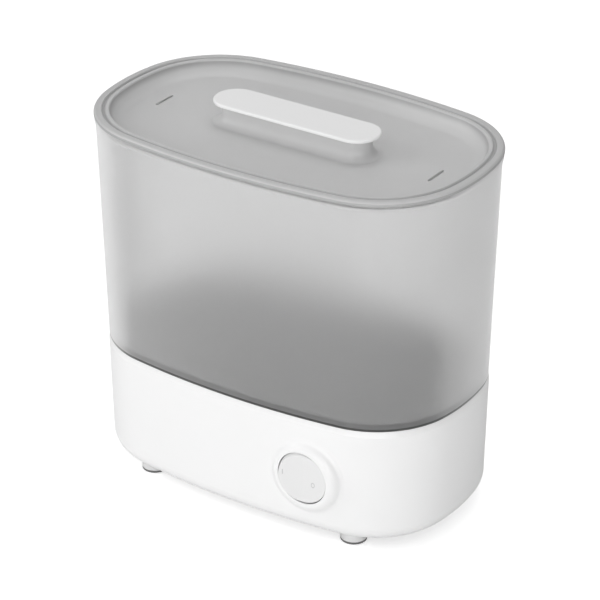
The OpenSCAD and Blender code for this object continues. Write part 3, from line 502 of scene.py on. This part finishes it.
# The sum of the two noises lies round 1, so the roughness runs over a range about that.
spread_roughness(metal_skin, into, out,
                 step_node(metal_skin, "ADD", stain.outputs["Fac"], marks.outputs["Fac"]),
                 0.7, 1.3)
raise_skin(metal_skin, marks.outputs["Fac"], into.outputs["Mark Depth"], out)


# %% Metals from the group
MARK_STRETCH = 0.02


def metal(name, colour, stain_colour, roughness, marks="straight", count=2200.0, mark_depth=0.2,
          stain_size=45.0, spread_by=0.08):
    """A metal whose marks are straight, rings about the upright axis, or cast and even."""
    material, skin = skinned(name, metal_skin, {
        "Colour": colour, "Stain Colour": stain_colour, "Stain Size": stain_size,
        "Roughness": roughness, "Roughness Spread": spread_by, "Mark Depth": mark_depth})
    shader_inputs(material)["Metallic"].default_value = 1.0
    tree = material.node_tree
    spaced = add(tree, "ShaderNodeMapping")
    spaced.inputs["Scale"].default_value = {
        "straight": (count * MARK_STRETCH, count, count), "rings": (count, count, 0),
        "cast": (count, count, count)}[marks]
    wire(tree, (add(tree, "ShaderNodeTexCoord").outputs["Object"], spaced.inputs["Vector"]))
    read = spaced.outputs[0]
    if marks == "rings":
        reach = add(tree, "ShaderNodeVectorMath", operation="LENGTH")
        along = add(tree, "ShaderNodeCombineXYZ")
        wire(tree, (read, reach.inputs[0]), (reach.outputs["Value"], along.inputs["X"]))
        read = along.outputs[0]
    wire(tree, (read, skin.inputs["Marks"]))
    return material


turned_steel = metal("turned_steel", srgb(214), srgb(196, (2, 1, -2)), 0.26, "rings", count=1500)
sheet_steel = metal("sheet_steel", srgb(198), srgb(182), 0.34)
screw_steel = metal("screw_steel", srgb(205), srgb(186), 0.28, count=3000, stain_size=120)
cast_aluminium = metal("cast_aluminium", srgb(188), srgb(168), 0.5, "cast", count=900,
                       mark_depth=0.5, stain_size=70)
tube_steel = metal("tube_steel", srgb(122, (6, 0, -4)), srgb(92, (10, 0, -8)), 0.42, "cast",
                   count=700, mark_depth=0.3, stain_size=60)
fuse_case = metal("fuse_case", srgb(200, (4, 2, -4)), srgb(180, (6, 2, -6)), 0.3, "rings",
                  count=2400)
terminal_brass = metal("terminal_brass", srgb(206, (14, -8, -70)), srgb(180, (16, -8, -66)), 0.28,
                       count=2600, stain_size=110)
print("materials:", len(bpy.data.materials))

# %% [markdown]
# ## Finishes for the engineering pieces
# The pieces whose shape is already right stay as they are and only get a finish. Each one follows
# what the part is really made of: turned steel for the plate, silicone for its seal, cast aluminium
# for the ring that clamps it, rubber for the feet, dark moulded plastic for the switch's body.

# %% Dress the frame's own pieces
FINISHES = {
    "bottom_cover": cover_plastic, "foot_pads": foot_rubber, "case_screws": screw_steel,
    "heating_plate": turned_steel, "plate_seal": seal_silicone, "clamp_ring": cast_aluminium,
    "clamp_screws": screw_steel, "heat_spreader": cast_aluminium, "heating_element": tube_steel,
    "thermostat": thermostat_body, "thermostat_bracket": sheet_steel, "bracket_screws": screw_steel,
    "thermal_fuse": fuse_case, "fuse_clip": sheet_steel, "switch_housing": switch_plastic,
    "switch_terminals": terminal_brass, "switch_screws": screw_steel, "rocker_pin": screw_steel,
    "cord_gland": gland_plastic, "terminal_block": block_plastic, "handle_screws": screw_steel,
}
for name, material in FINISHES.items():
    for holder in nodes[name].material_slots:
        holder.material = material
print("dressed:", len(FINISHES), "of", len(nodes), "pieces of the frame")

# %% [markdown]
# ## The base
# The base is one moulding: a wall that leans in slightly, a large round at the foot, a sloping band
# under the seam, a rim, and a shallow basin round the heating plate. Its section is drawn once,
# with the small radii that a mould leaves on every edge, and swept round the oval.

# %% Base section
SEAM, BASIN_FLOOR, WALL = 97.7, 79.7, 2.5
BASIN_UNDER, PLATE_HOLE, PLATE_STEPS = BASIN_FLOOR - WALL, 57.5, 128
FOOT_AT, FOOT_ROUND = (-19.8, 21.0), 13.0
BASIN_AT, BASIN_ROUND = (-21.4, 87.7), 8.0
base_section = (
    [(-23.4, BASIN_FLOOR)] + arc(BASIN_AT, BASIN_ROUND, -90, 0, 10)
    + arc((-14.0, 96.7), 1.0, 0, 90, 5)
    + arc((-7.2, 97.1), 0.6, 90, 16, 4)
    + [(-5.36, 93.25), (-5.3, 93.05), (-5.302, 92.6), (-5.5, 83.0), (-6.0, 59.0), (-6.4, 40.0)]
    + arc(FOOT_AT, FOOT_ROUND, 0, -90, 16)
    + arc(FOOT_AT, FOOT_ROUND - WALL, -90, 0, 6)
    + [(-7.8, 93.1), (-9.1, 95.2), (-10.5, 95.2)] + arc(BASIN_AT, BASIN_ROUND + WALL, 0, -90, 6)
    + [(-23.4, BASIN_UNDER)]
)
base_mesh = bmesh.new()
oval_sweep(base_mesh, base_section)
for height in (BASIN_FLOOR, BASIN_UNDER):
    bmesh.ops.create_circle(base_mesh, cap_ends=False, segments=PLATE_STEPS, radius=PLATE_HOLE,
                            matrix=Matrix.Translation((0, 0, height)))
    fill_flat(base_mesh, height)
bmesh.ops.bridge_loops(base_mesh, edges=[e for e in base_mesh.edges if e.is_boundary])
close_and_face_out(base_mesh)
print("base skin:", len(base_mesh.faces), "faces, open edges:",
      sum(e.is_boundary for e in base_mesh.edges))

# %% [markdown]
# ## Windows in the wall
# The switch at the front and the cord's bush at the back need holes in the wall. A prism of upright
# cuts is laid round each axis, and the faces inside it go. Both edges hide under the collar and the
# bush, so they may stay plain.

# %% Cut the two windows
SWITCH_X, SWITCH_Z, SWITCH_WINDOW = 60.0, 53.2, 23.0
BUSH_X, BUSH_Z, BUSH_WINDOW = 0.0, 32.0, 8.0
WINDOW_CUTS, BASIN_HALF = 24, 60.0


def open_window(bm, x, z, side, radius):
    """Opens a round window through the front (-1) or back (+1) wall, about an axis along Y."""
    def near(face):
        middle = face.calc_center_median()
        return (middle.y * side > 0 and abs(middle.x - x) < 1.5 * radius
                and abs(middle.z - z) < 1.5 * radius and abs(middle.y) > BASIN_HALF)
    for i in range(WINDOW_CUTS):
        angle = 2 * math.pi * i / WINDOW_CUTS
        out_way = Vector((math.cos(angle), 0, math.sin(angle)))
        faces = [f for f in bm.faces if near(f)]
        geom = (set(faces) | {e for f in faces for e in f.edges}
                | {v for f in faces for v in f.verts})
        bmesh.ops.bisect_plane(bm, geom=list(geom), plane_co=Vector((x, 0, z)) + out_way * radius,
                               plane_no=out_way, dist=FINAL_WELD)
    corner_reach = radius / math.cos(math.pi / WINDOW_CUTS) + LEVEL_TOLERANCE
    inside = [f for f in bm.faces if near(f) and all(
        math.hypot(v.co.x - x, v.co.z - z) < corner_reach for v in f.verts)]
    bmesh.ops.delete(bm, geom=inside, context="FACES")
    rims = [e for e in bm.edges if e.is_boundary]
    bmesh.ops.bridge_loops(bm, edges=rims)
    print("window of", round(radius, 1), "mm:", len(inside), "faces out,", len(rims), "rim edges")


open_window(base_mesh, SWITCH_X, SWITCH_Z, -1, SWITCH_WINDOW)
open_window(base_mesh, BUSH_X, BUSH_Z, 1, BUSH_WINDOW)
make_piece("base_body", base_mesh, "base", white_plastic, replaced=["base_shell"])

# %% [markdown]
# ## The collar round the switch
# The collar is a smooth ring like a doughnut. The wall curves away under it, so it stands proud by
# different amounts to the left and to the right. Its outer side runs into the wall in a hollow. A
# flat sheet is bent round into the ring: for each direction round the switch the helper finds the
# hollow's circle that touches both the ring's shoulder and the wall just there.

# %% Where the wall lies behind the collar
COLLAR_HOLE, COLLAR_LIP, LIP_ROUND, SHOULDER, HOLLOW = 19.5, 20.6, 0.45, 6.0, 4.5
COLLAR_PROUD, HALVINGS = 4.5, 40
WALL_FOOT, WALL_LEAN, WALL_RISE = -6.8, 1.5, 72.1


def wall_offset(z):
    """How far the base's leaning wall lies from the oval at a height, in mm."""
    return WALL_FOOT + WALL_LEAN * (z - FOOT_AT[1]) / WALL_RISE


FACE_Y = -(outline_y(SWITCH_X, wall_offset(SWITCH_Z)) + COLLAR_PROUD)


def wall_depth(direction, reach):
    """How far the wall lies behind the collar's face, at a direction and distance in mm."""
    x, z = SWITCH_X + reach * math.cos(direction), SWITCH_Z + reach * math.sin(direction)
    return -(FACE_Y + outline_y(x, wall_offset(z)))


def wall_slope(direction, reach):
    """How much deeper the wall gets there for each millimetre outwards."""
    return wall_depth(direction, reach + 0.5) - wall_depth(direction, reach - 0.5)


def collar_profile(direction):
    """Points of the collar's profile as (distance from the axis, height over its face)."""
    def hollow_centre(foot):
        slope = wall_slope(direction, foot)
        size = math.hypot(slope, 1)
        return foot + HOLLOW * slope / size, -wall_depth(direction, foot) + HOLLOW / size
    def miss(foot):
        x, z = hollow_centre(foot)
        if z < -SHOULDER:
            return x - (COLLAR_LIP + SHOULDER + HOLLOW)
        return math.hypot(x - COLLAR_LIP, z + SHOULDER) - (SHOULDER + HOLLOW)
    near, far = COLLAR_LIP, COLLAR_LIP + SHOULDER + 3 * HOLLOW
    for _ in range(HALVINGS):
        middle = (near + far) / 2
        near, far = (middle, far) if miss(middle) < 0 else (near, middle)
    x, z = hollow_centre(far)
    below = z < -SHOULDER
    meet = 0.0 if below else math.degrees(math.atan2(z + SHOULDER, x - COLLAR_LIP))
    end = -90.0 - math.degrees(math.atan(wall_slope(direction, far)))
    bore = [(21.4, -9.0), (21.4, -1.3), (COLLAR_HOLE + 0.1, -1.3), (COLLAR_HOLE, -1.15)]
    lip = arc((COLLAR_HOLE + LIP_ROUND, -LIP_ROUND), LIP_ROUND, 180, 90, 4)
    shoulder = arc((COLLAR_LIP, -SHOULDER), SHOULDER, 90, meet, 12)
    hollow = arc((x, z), HOLLOW, 180 + meet, end + 360, 10)
    # Two more points dip into the wall, each a distance past the foot and a depth below the wall.
    tail = [(far + past, -wall_depth(direction, far + past) - sunk)
            for past, sunk in ((0.8, 0.02), (2.0, 0.2))]
    return bore + lip + shoulder + hollow + tail


# %% The collar
COLLAR_COLUMNS = 128
profiles = [collar_profile(2 * math.pi * i / COLLAR_COLUMNS) for i in range(COLLAR_COLUMNS + 1)]
rows = len(profiles[0])
collar_mesh = bmesh.new()
bmesh.ops.create_grid(collar_mesh, x_segments=COLLAR_COLUMNS, y_segments=rows - 1, size=1)
for v in collar_mesh.verts:
    column = round((v.co.x + 1) / 2 * COLLAR_COLUMNS)
    reach, height = profiles[column][round((v.co.y + 1) / 2 * (rows - 1))]
    direction = 2 * math.pi * (column % COLLAR_COLUMNS) / COLLAR_COLUMNS
    v.co = (SWITCH_X + reach * math.cos(direction), FACE_Y - height,
            SWITCH_Z + reach * math.sin(direction))
close_and_face_out(collar_mesh)
make_piece("switch_collar", collar_mesh, "base", white_plastic)

# %% [markdown]
# ## The rocker
# The rocker is a round cap whose face is two slopes that meet in a shallow valley, and whose edge
# lies on a sphere about the pivot, so the gap round it stays even while it tilts. A half profile is
# spun into the cap, the face is folded into the valley, and the cap leans as it does at rest.

# %% Rocker cap
PIVOT_DEPTH, CAP_FRONT, CAP_RADIUS, CAP_WALL, CAP_SKIRT = 8.5, 9.7, 20.4, 2.0, 4.0
CAP_EDGE, CAP_BACK, CAP_INNER, CAP_STEPS = 0.75, CAP_FRONT - CAP_WALL, CAP_RADIUS - CAP_WALL, 96
CAP_SLOPE, VALLEY_ROUND, LEAN = math.tan(math.radians(4)), 0.6, math.radians(6)
AXIS_GAP, AXIS_WELD, FOLD_FADE = 0.02, 0.05, 0.5
LUG_PITCH, LUG_RADIUS, LUG_WIDTH, LUG_HEIGHT = 10.5, 3.2, 4.5, 7.0
PLUNGER_WIDTH, PLUNGER_LENGTH = 3.2, 13.0


def latitude(height, radius):
    """The angle in degrees where a sphere about the pivot reaches a height."""
    return math.degrees(math.asin(height / radius))


def fold(x):
    """Height of the valley's sides at x, with its bottom a little rounded."""
    return CAP_SLOPE * (math.sqrt(x * x + VALLEY_ROUND ** 2)
                        - math.sqrt(CAP_RADIUS ** 2 - CAP_FRONT ** 2))


def full_turn(bm, row, centre, steps):
    """Spins a row once round an upright line through a centre."""
    bmesh.ops.spin(bm, geom=row, cent=centre, axis=(0, 0, 1), angle=2 * math.pi, steps=steps,
                   use_merge=True)


def add_box(bm, centre, size):
    """Adds a box of a size about a centre."""
    bmesh.ops.create_cube(bm, size=1, matrix=Matrix.Translation(centre)
                          @ Matrix.Diagonal((*size, 1)))


def to_switch(bm):
    """Leans a mesh about the pivot and takes it from the cap's frame to the base's front."""
    lean = Matrix.Rotation(LEAN, 3, "Y")
    for v in bm.verts:
        x, y, z = lean @ v.co - Vector((0, 0, PIVOT_DEPTH))
        v.co = (SWITCH_X + x, FACE_Y - z, SWITCH_Z + y)


edge_turn = latitude(CAP_FRONT - CAP_EDGE, CAP_RADIUS)
edge_x = CAP_RADIUS * math.cos(math.radians(edge_turn)) - CAP_EDGE
skirt = PIVOT_DEPTH - CAP_SKIRT
cap_profile = (
    [(r, CAP_FRONT) for r in (AXIS_GAP, 2.0, 6.0, 10.0, 14.0, 16.6)]
    + arc((edge_x, CAP_FRONT - CAP_EDGE), CAP_EDGE, 90, edge_turn, 5)
    + arc((0, 0), CAP_RADIUS, edge_turn, latitude(skirt, CAP_RADIUS), 4)[1:]
    + arc((0, 0), CAP_INNER, latitude(skirt, CAP_INNER), latitude(CAP_BACK, CAP_INNER), 3)
    + [(r, CAP_BACK) for r in (12.0, 6.0, AXIS_GAP)]
)
rocker_mesh = bmesh.new()
row = section_row(rocker_mesh, [(r, 0, z) for r, z in cap_profile])
full_turn(rocker_mesh, row, (0, 0, 0), CAP_STEPS)
for v in rocker_mesh.verts:
    if v.co.z > CAP_BACK - FOLD_FADE:
        share = min(1.0, (v.co.z - (CAP_BACK - FOLD_FADE)) / FOLD_FADE)
        v.co.z += share * fold(v.co.x)
bmesh.ops.remove_doubles(rocker_mesh, verts=rocker_mesh.verts, dist=AXIS_WELD)
for y in (-LUG_PITCH, 0.0, LUG_PITCH):
    bmesh.ops.create_cone(rocker_mesh, cap_ends=True, segments=24, radius1=LUG_RADIUS,
                          radius2=LUG_RADIUS, depth=LUG_WIDTH,
                          matrix=Matrix.Translation((0, y, 0))
                          @ Matrix.Rotation(math.pi / 2, 4, "X"))
    add_box(rocker_mesh, (0, y, LUG_HEIGHT / 2), (2 * LUG_RADIUS, LUG_WIDTH, LUG_HEIGHT))
add_box(rocker_mesh, (0, 0, -PLUNGER_LENGTH / 2), (PLUNGER_WIDTH, LUG_WIDTH, PLUNGER_LENGTH))
to_switch(rocker_mesh)
bmesh.ops.recalc_face_normals(rocker_mesh, faces=rocker_mesh.faces)
make_piece("rocker_cap", rocker_mesh, "rocker", rocker_plastic,
           replaced=["rocker"], sharp=40)

# %% [markdown]
# ## The marks on the rocker
# A line and a ring tell on from off. On the real cap they are inked, a shade darker than the
# plastic. Here each is a thin raised shape that is laid on the cap's slope before both lean
# together, because a shape keeps its crisp edge when the model is baked.

# %% Line and ring
LINE_AT, RING_AT = Vector((-14.9, 2.5, 0)), Vector((8.2, -2.4, 0))
MARK_LINE, MARK_RING, MARK_WIDTH, MARK_HALF = 3.6, 2.05, 0.7, 0.1
RING_SQUEEZE, RING_STEPS = 0.72, 36
mark_mesh = bmesh.new()
add_box(mark_mesh, LINE_AT, (MARK_WIDTH, MARK_LINE, 2 * MARK_HALF))
band = section_row(mark_mesh, [RING_AT + Vector((r, 0, z)) for r, z in (
    (MARK_RING, -MARK_HALF), (MARK_RING, MARK_HALF), (MARK_RING - MARK_WIDTH, MARK_HALF),
    (MARK_RING - MARK_WIDTH, -MARK_HALF))], closed=True)
full_turn(mark_mesh, band, RING_AT, RING_STEPS)
for v in mark_mesh.verts:
    if v.co.x > 0:
        v.co.x = RING_AT.x + RING_SQUEEZE * (v.co.x - RING_AT.x)
    v.co.z += CAP_FRONT + fold(v.co.x)
to_switch(mark_mesh)
close_and_face_out(mark_mesh)
make_piece("rocker_marks", mark_mesh, "rocker", mark_ink)

# %% [markdown]
# ## The tub
# The tub is a tall frosted bucket with a bead round its top, a floor with rows of steam slots and a
# short spigot that drops into the base. The section runs from the floor's top, up the inside, over
# the bead and down the outside to the spigot, and the slotted floor is filled in afterwards.

# %% Tub
TUB_TOP, TUB_FLOOR, TUB_UNDER, SPIGOT_END = 267.4, 101.6, 99.2, 92.2
SLOTS_EACH_WAY, SLOT_PITCH, SLOT_WIDTH, SLOT_BEGIN, SLOT_INSET = 7, 14.0, 4.0, 5.0, -19.7
tub_section = (
    [(-18.0, TUB_FLOOR)] + arc((-11.2, TUB_FLOOR + 3.2), 3.2, -90, 0, 6)
    + [(-7.2, 130.0), (-5.4, 196.0), (-3.6, 262.0)]
    + arc((-3.1, TUB_TOP - 0.4), 0.4, 180, 90, 3)
    + arc((-0.9, TUB_TOP - 0.5), 0.5, 90, 0, 4)
    + arc((-0.8, 263.7), 0.4, 0, -60, 4) + [(-1.19, 262.9), (-1.24, 262.3)]
    + [(-1.9, 238.0), (-3.1, 194.0), (-4.3, 150.0), (-5.2, 115.0)]
    + arc((-6.15, SEAM + 0.5), 0.5, 0, -90, 4)
    + [(-8.1, SEAM), (-8.1, TUB_UNDER), (-13.6, TUB_UNDER), (-13.6, SPIGOT_END)]
    + arc((-14.1, SPIGOT_END), 0.5, 0, -90, 3) + arc((-15.5, SPIGOT_END), 0.5, -90, -180, 3)
    + [(-16.0, TUB_UNDER), (-18.0, TUB_UNDER)]
)
tub_mesh = bmesh.new()
oval_sweep(tub_mesh, tub_section)
for i in range(-SLOTS_EACH_WAY, SLOTS_EACH_WAY + 1):
    far = outline_y(SLOT_PITCH * i, SLOT_INSET)
    for s in (-1, 1):
        slot_wall(tub_mesh, (SLOT_PITCH * i, s * (far + SLOT_BEGIN) / 2), far - SLOT_BEGIN,
                  SLOT_WIDTH, TUB_UNDER, TUB_FLOOR)
fill_flat(tub_mesh, TUB_FLOOR)
fill_flat(tub_mesh, TUB_UNDER)
close_and_face_out(tub_mesh)
print("tub open edges:", sum(e.is_boundary for e in tub_mesh.edges))
make_piece("tub_body", tub_mesh, "tub", frosted_plastic, replaced=["tub"])

# %% [markdown]
# ## The lid
# The lid's rim has a rounded outer edge, a fine groove and a ridge, and then a hollow sweeps down
# to a flat sunk panel. A pill-shaped pedestal grows out of the panel in a broad fillet. The rim and
# the pedestal are swept, and the flat panel between them is filled with the two steam slits left
# open.

# %% Lid
RIM, PANEL, PANEL_UNDER, ROOF_UNDER, HANDLE_UNDER = 270.4, 261.2, 258.8, 272.8, 275.8
SLIT_X, SLIT_LENGTH, SLIT_WIDTH, BOSS_X, BOSS_WELL = 110.5, 19.5, 2.2, 35.0, 6.8
COVE_AT = (-22.4, 273.2)
lid_section = (
    [(-23.8, PANEL)] + arc(COVE_AT, 12.0, -90, -20, 16)
    + arc((-10.0, RIM - 1.0), 1.0, 172, 90, 6)
    + arc((-8.5, RIM - 0.3), 0.3, 90, 20, 3) + arc((-7.4, 269.2), 0.3, 200, 270, 3)
    + arc((-6.2, 269.2), 0.3, -90, -20, 3) + arc((-5.1, RIM - 0.3), 0.3, 160, 90, 3)
    + arc((-2.0, RIM - 2.0), 2.0, 90, 0, 8)
    + arc((-0.3, 267.7), 0.3, 0, -90, 3)
    + [(-3.9, 267.4), (-3.9, 264.8)] + arc((-4.3, 264.8), 0.4, 0, -90, 3)
    + arc((-5.5, 264.8), 0.4, -90, -180, 3) + [(-5.9, 267.4), (-6.2, 267.4), (-8.6, 266.4)]
    + arc(COVE_AT, 14.4, -28.2, -90, 12) + [(-23.8, PANEL_UNDER)]
)
pedestal_section = (
    [(18.0, PANEL)] + arc((17.5, 268.2), 7.0, -90, -180, 14)
    + [(10.5, 275.3)] + arc((10.1, 275.4), 0.4, 0, 90, 3)
)
hollow_section = [(8.1, PANEL_UNDER), (8.1, ROOF_UNDER - 1.0)] + arc(
    (7.1, ROOF_UNDER - 1.0), 1.0, 0, 90, 4)
lid_mesh = bmesh.new()
oval_sweep(lid_mesh, lid_section)
pill_sweep(lid_mesh, pedestal_section)
pill_sweep(lid_mesh, hollow_section)
for x in (-SLIT_X, SLIT_X):
    slot_wall(lid_mesh, (x, 0), SLIT_LENGTH, SLIT_WIDTH, PANEL_UNDER, PANEL)
for x in (-BOSS_X, BOSS_X):
    slot_wall(lid_mesh, (x, 0), BOSS_WELL, BOSS_WELL, ROOF_UNDER, HANDLE_UNDER)
for height in (PANEL, PANEL_UNDER, ROOF_UNDER, HANDLE_UNDER):
    fill_flat(lid_mesh, height)
close_and_face_out(lid_mesh)
print("lid open edges:", sum(e.is_boundary for e in lid_mesh.edges))
make_piece("lid_body", lid_mesh, "lid", lid_plastic, replaced=["lid"])

# %% [markdown]
# ## The handle
# A flat pill-shaped plate lies on the pedestal and overhangs it all round, so fingertips get under
# it. Its upper edge is softly rounded. Two bosses under it take the screws.

# %% Handle plate
HANDLE_TOP, HANDLE_HALF, HANDLE_EDGE, UNDER_EDGE = 278.0, 16.5, 1.2, 0.35
BOSS_WIDTH, BORE_WIDTH, BORE_TOP = 6.4, 3.1, 277.0
handle_section = (
    [(14.0, HANDLE_TOP)] + arc((HANDLE_HALF - HANDLE_EDGE, HANDLE_TOP - HANDLE_EDGE),
                               HANDLE_EDGE, 90, 0, 8)
    + arc((HANDLE_HALF - UNDER_EDGE, HANDLE_UNDER + UNDER_EDGE), UNDER_EDGE, 0, -90, 3)
    + [(14.0, HANDLE_UNDER)]
)
handle_mesh = bmesh.new()
pill_sweep(handle_mesh, handle_section)
for x in (-BOSS_X, BOSS_X):
    slot_wall(handle_mesh, (x, 0), BOSS_WIDTH, BOSS_WIDTH, ROOF_UNDER, HANDLE_UNDER)
    slot_wall(handle_mesh, (x, 0), BORE_WIDTH, BORE_WIDTH, ROOF_UNDER, BORE_TOP)
for height in (HANDLE_TOP, HANDLE_UNDER, BORE_TOP, ROOF_UNDER):
    fill_flat(handle_mesh, height)
close_and_face_out(handle_mesh)
print("handle open edges:", sum(e.is_boundary for e in handle_mesh.edges))
make_piece("handle", handle_mesh, "lid", handle_plastic,
           replaced=["handle_plate"])

# %% [markdown]
# ## The studio
# Four soft lamps and a pale world light the object at a plain level. On the right the world is
# dimmer, as if a dark flag stood there, which gives the round end its shade. What the camera sees,
# also through clear plastic, is white paper, while the floor keeps the object's soft shadow.

# %% Studio
LAMP_TARGET = Vector((0, 0, 0.13))


def softbox(name, azimuth, elevation, away_m, size, power):
    """A lamp of (width, height) that faces the object; azimuth runs from the front to the right."""
    data = bpy.data.lights.new(name, "AREA")
    data.shape = "RECTANGLE"
    data.size, data.size_y = size
    data.energy = power
    lamp = new_object(name, data)
    way = heading(azimuth, elevation)
    lamp.location = LAMP_TARGET + way * away_m
    lamp.rotation_euler = way.to_track_quat("Z", "Y").to_euler()


softbox("left_box", -55, 26, 2.0, (1.2, 1.0), 8.5)
softbox("front_strip", 25, 10, 2.2, (1.8, 0.6), 11)
softbox("right_strip", 44, 14, 2.0, (0.35, 1.4), 7)
softbox("top_box", -160, 72, 2.2, (1.4, 1.4), 8)


def seen_directly(tree):
    """A mask that is 1 for what the camera sees itself or through clear plastic."""
    path = add(tree, "ShaderNodeLightPath")
    either = step_node(tree, "MAXIMUM", path.outputs["Is Camera Ray"],
                       path.outputs["Is Transmission Ray"])
    fresh = step_node(tree, "LESS_THAN", path.outputs["Diffuse Depth"], 0.5)
    return step_node(tree, "MULTIPLY", either, fresh)


WORLD_LEVEL, FLAG_LEVEL, FLAG_WAY = 0.56, 0.10, (0.94, 0.34, -0.5)
world = bpy.data.worlds.new("studio")
bpy.context.scene.world = world
world.use_nodes = True
air = world.node_tree
sky = air.nodes["Background"]
sky.inputs["Color"].default_value = (1, 1, 1, 1)
level = add(air, "ShaderNodeMapRange", to_max=1.0)
to_right = add(air, "ShaderNodeVectorMath", operation="DOT_PRODUCT")
to_right.inputs[1].default_value = FLAG_WAY
flag = add(air, "ShaderNodeMapRange", interpolation_type="SMOOTHSTEP", from_min=0.1, from_max=0.8,
           to_min=WORLD_LEVEL, to_max=FLAG_LEVEL)
wire(air, (seen_directly(air), level.inputs["Value"]),
     (add(air, "ShaderNodeTexCoord").outputs["Generated"], to_right.inputs[0]),
     (to_right.outputs["Value"], flag.inputs["Value"]),
     (flag.outputs[0], level.inputs["To Min"]), (level.outputs[0], sky.inputs["Strength"]))
bpy.context.scene.view_settings.view_transform = "Standard"

# %% Floor
FLOOR_HALF, FLOOR_GLOW = 6, 0.5
floor_mesh = bmesh.new()
bmesh.ops.create_grid(floor_mesh, x_segments=1, y_segments=1, size=FLOOR_HALF)
mesh = bpy.data.meshes.new("floor")
floor_mesh.to_mesh(mesh)
floor_mesh.free()
floor = new_object("floor", mesh)
paper = bpy.data.materials.new("paper_floor")
paper.use_nodes = True
for label, value in (("Base Color", srgb(243)), ("Roughness", 0.9), ("Specular IOR Level", 0.0),
                     ("Emission Color", (1, 1, 1, 1))):
    shader_inputs(paper)[label].default_value = value
glow = step_node(paper.node_tree, "MULTIPLY", seen_directly(paper.node_tree), FLOOR_GLOW)
wire(paper.node_tree, (glow, shader_inputs(paper)["Emission Strength"]))
mesh.materials.append(paper)
print("floor laid")
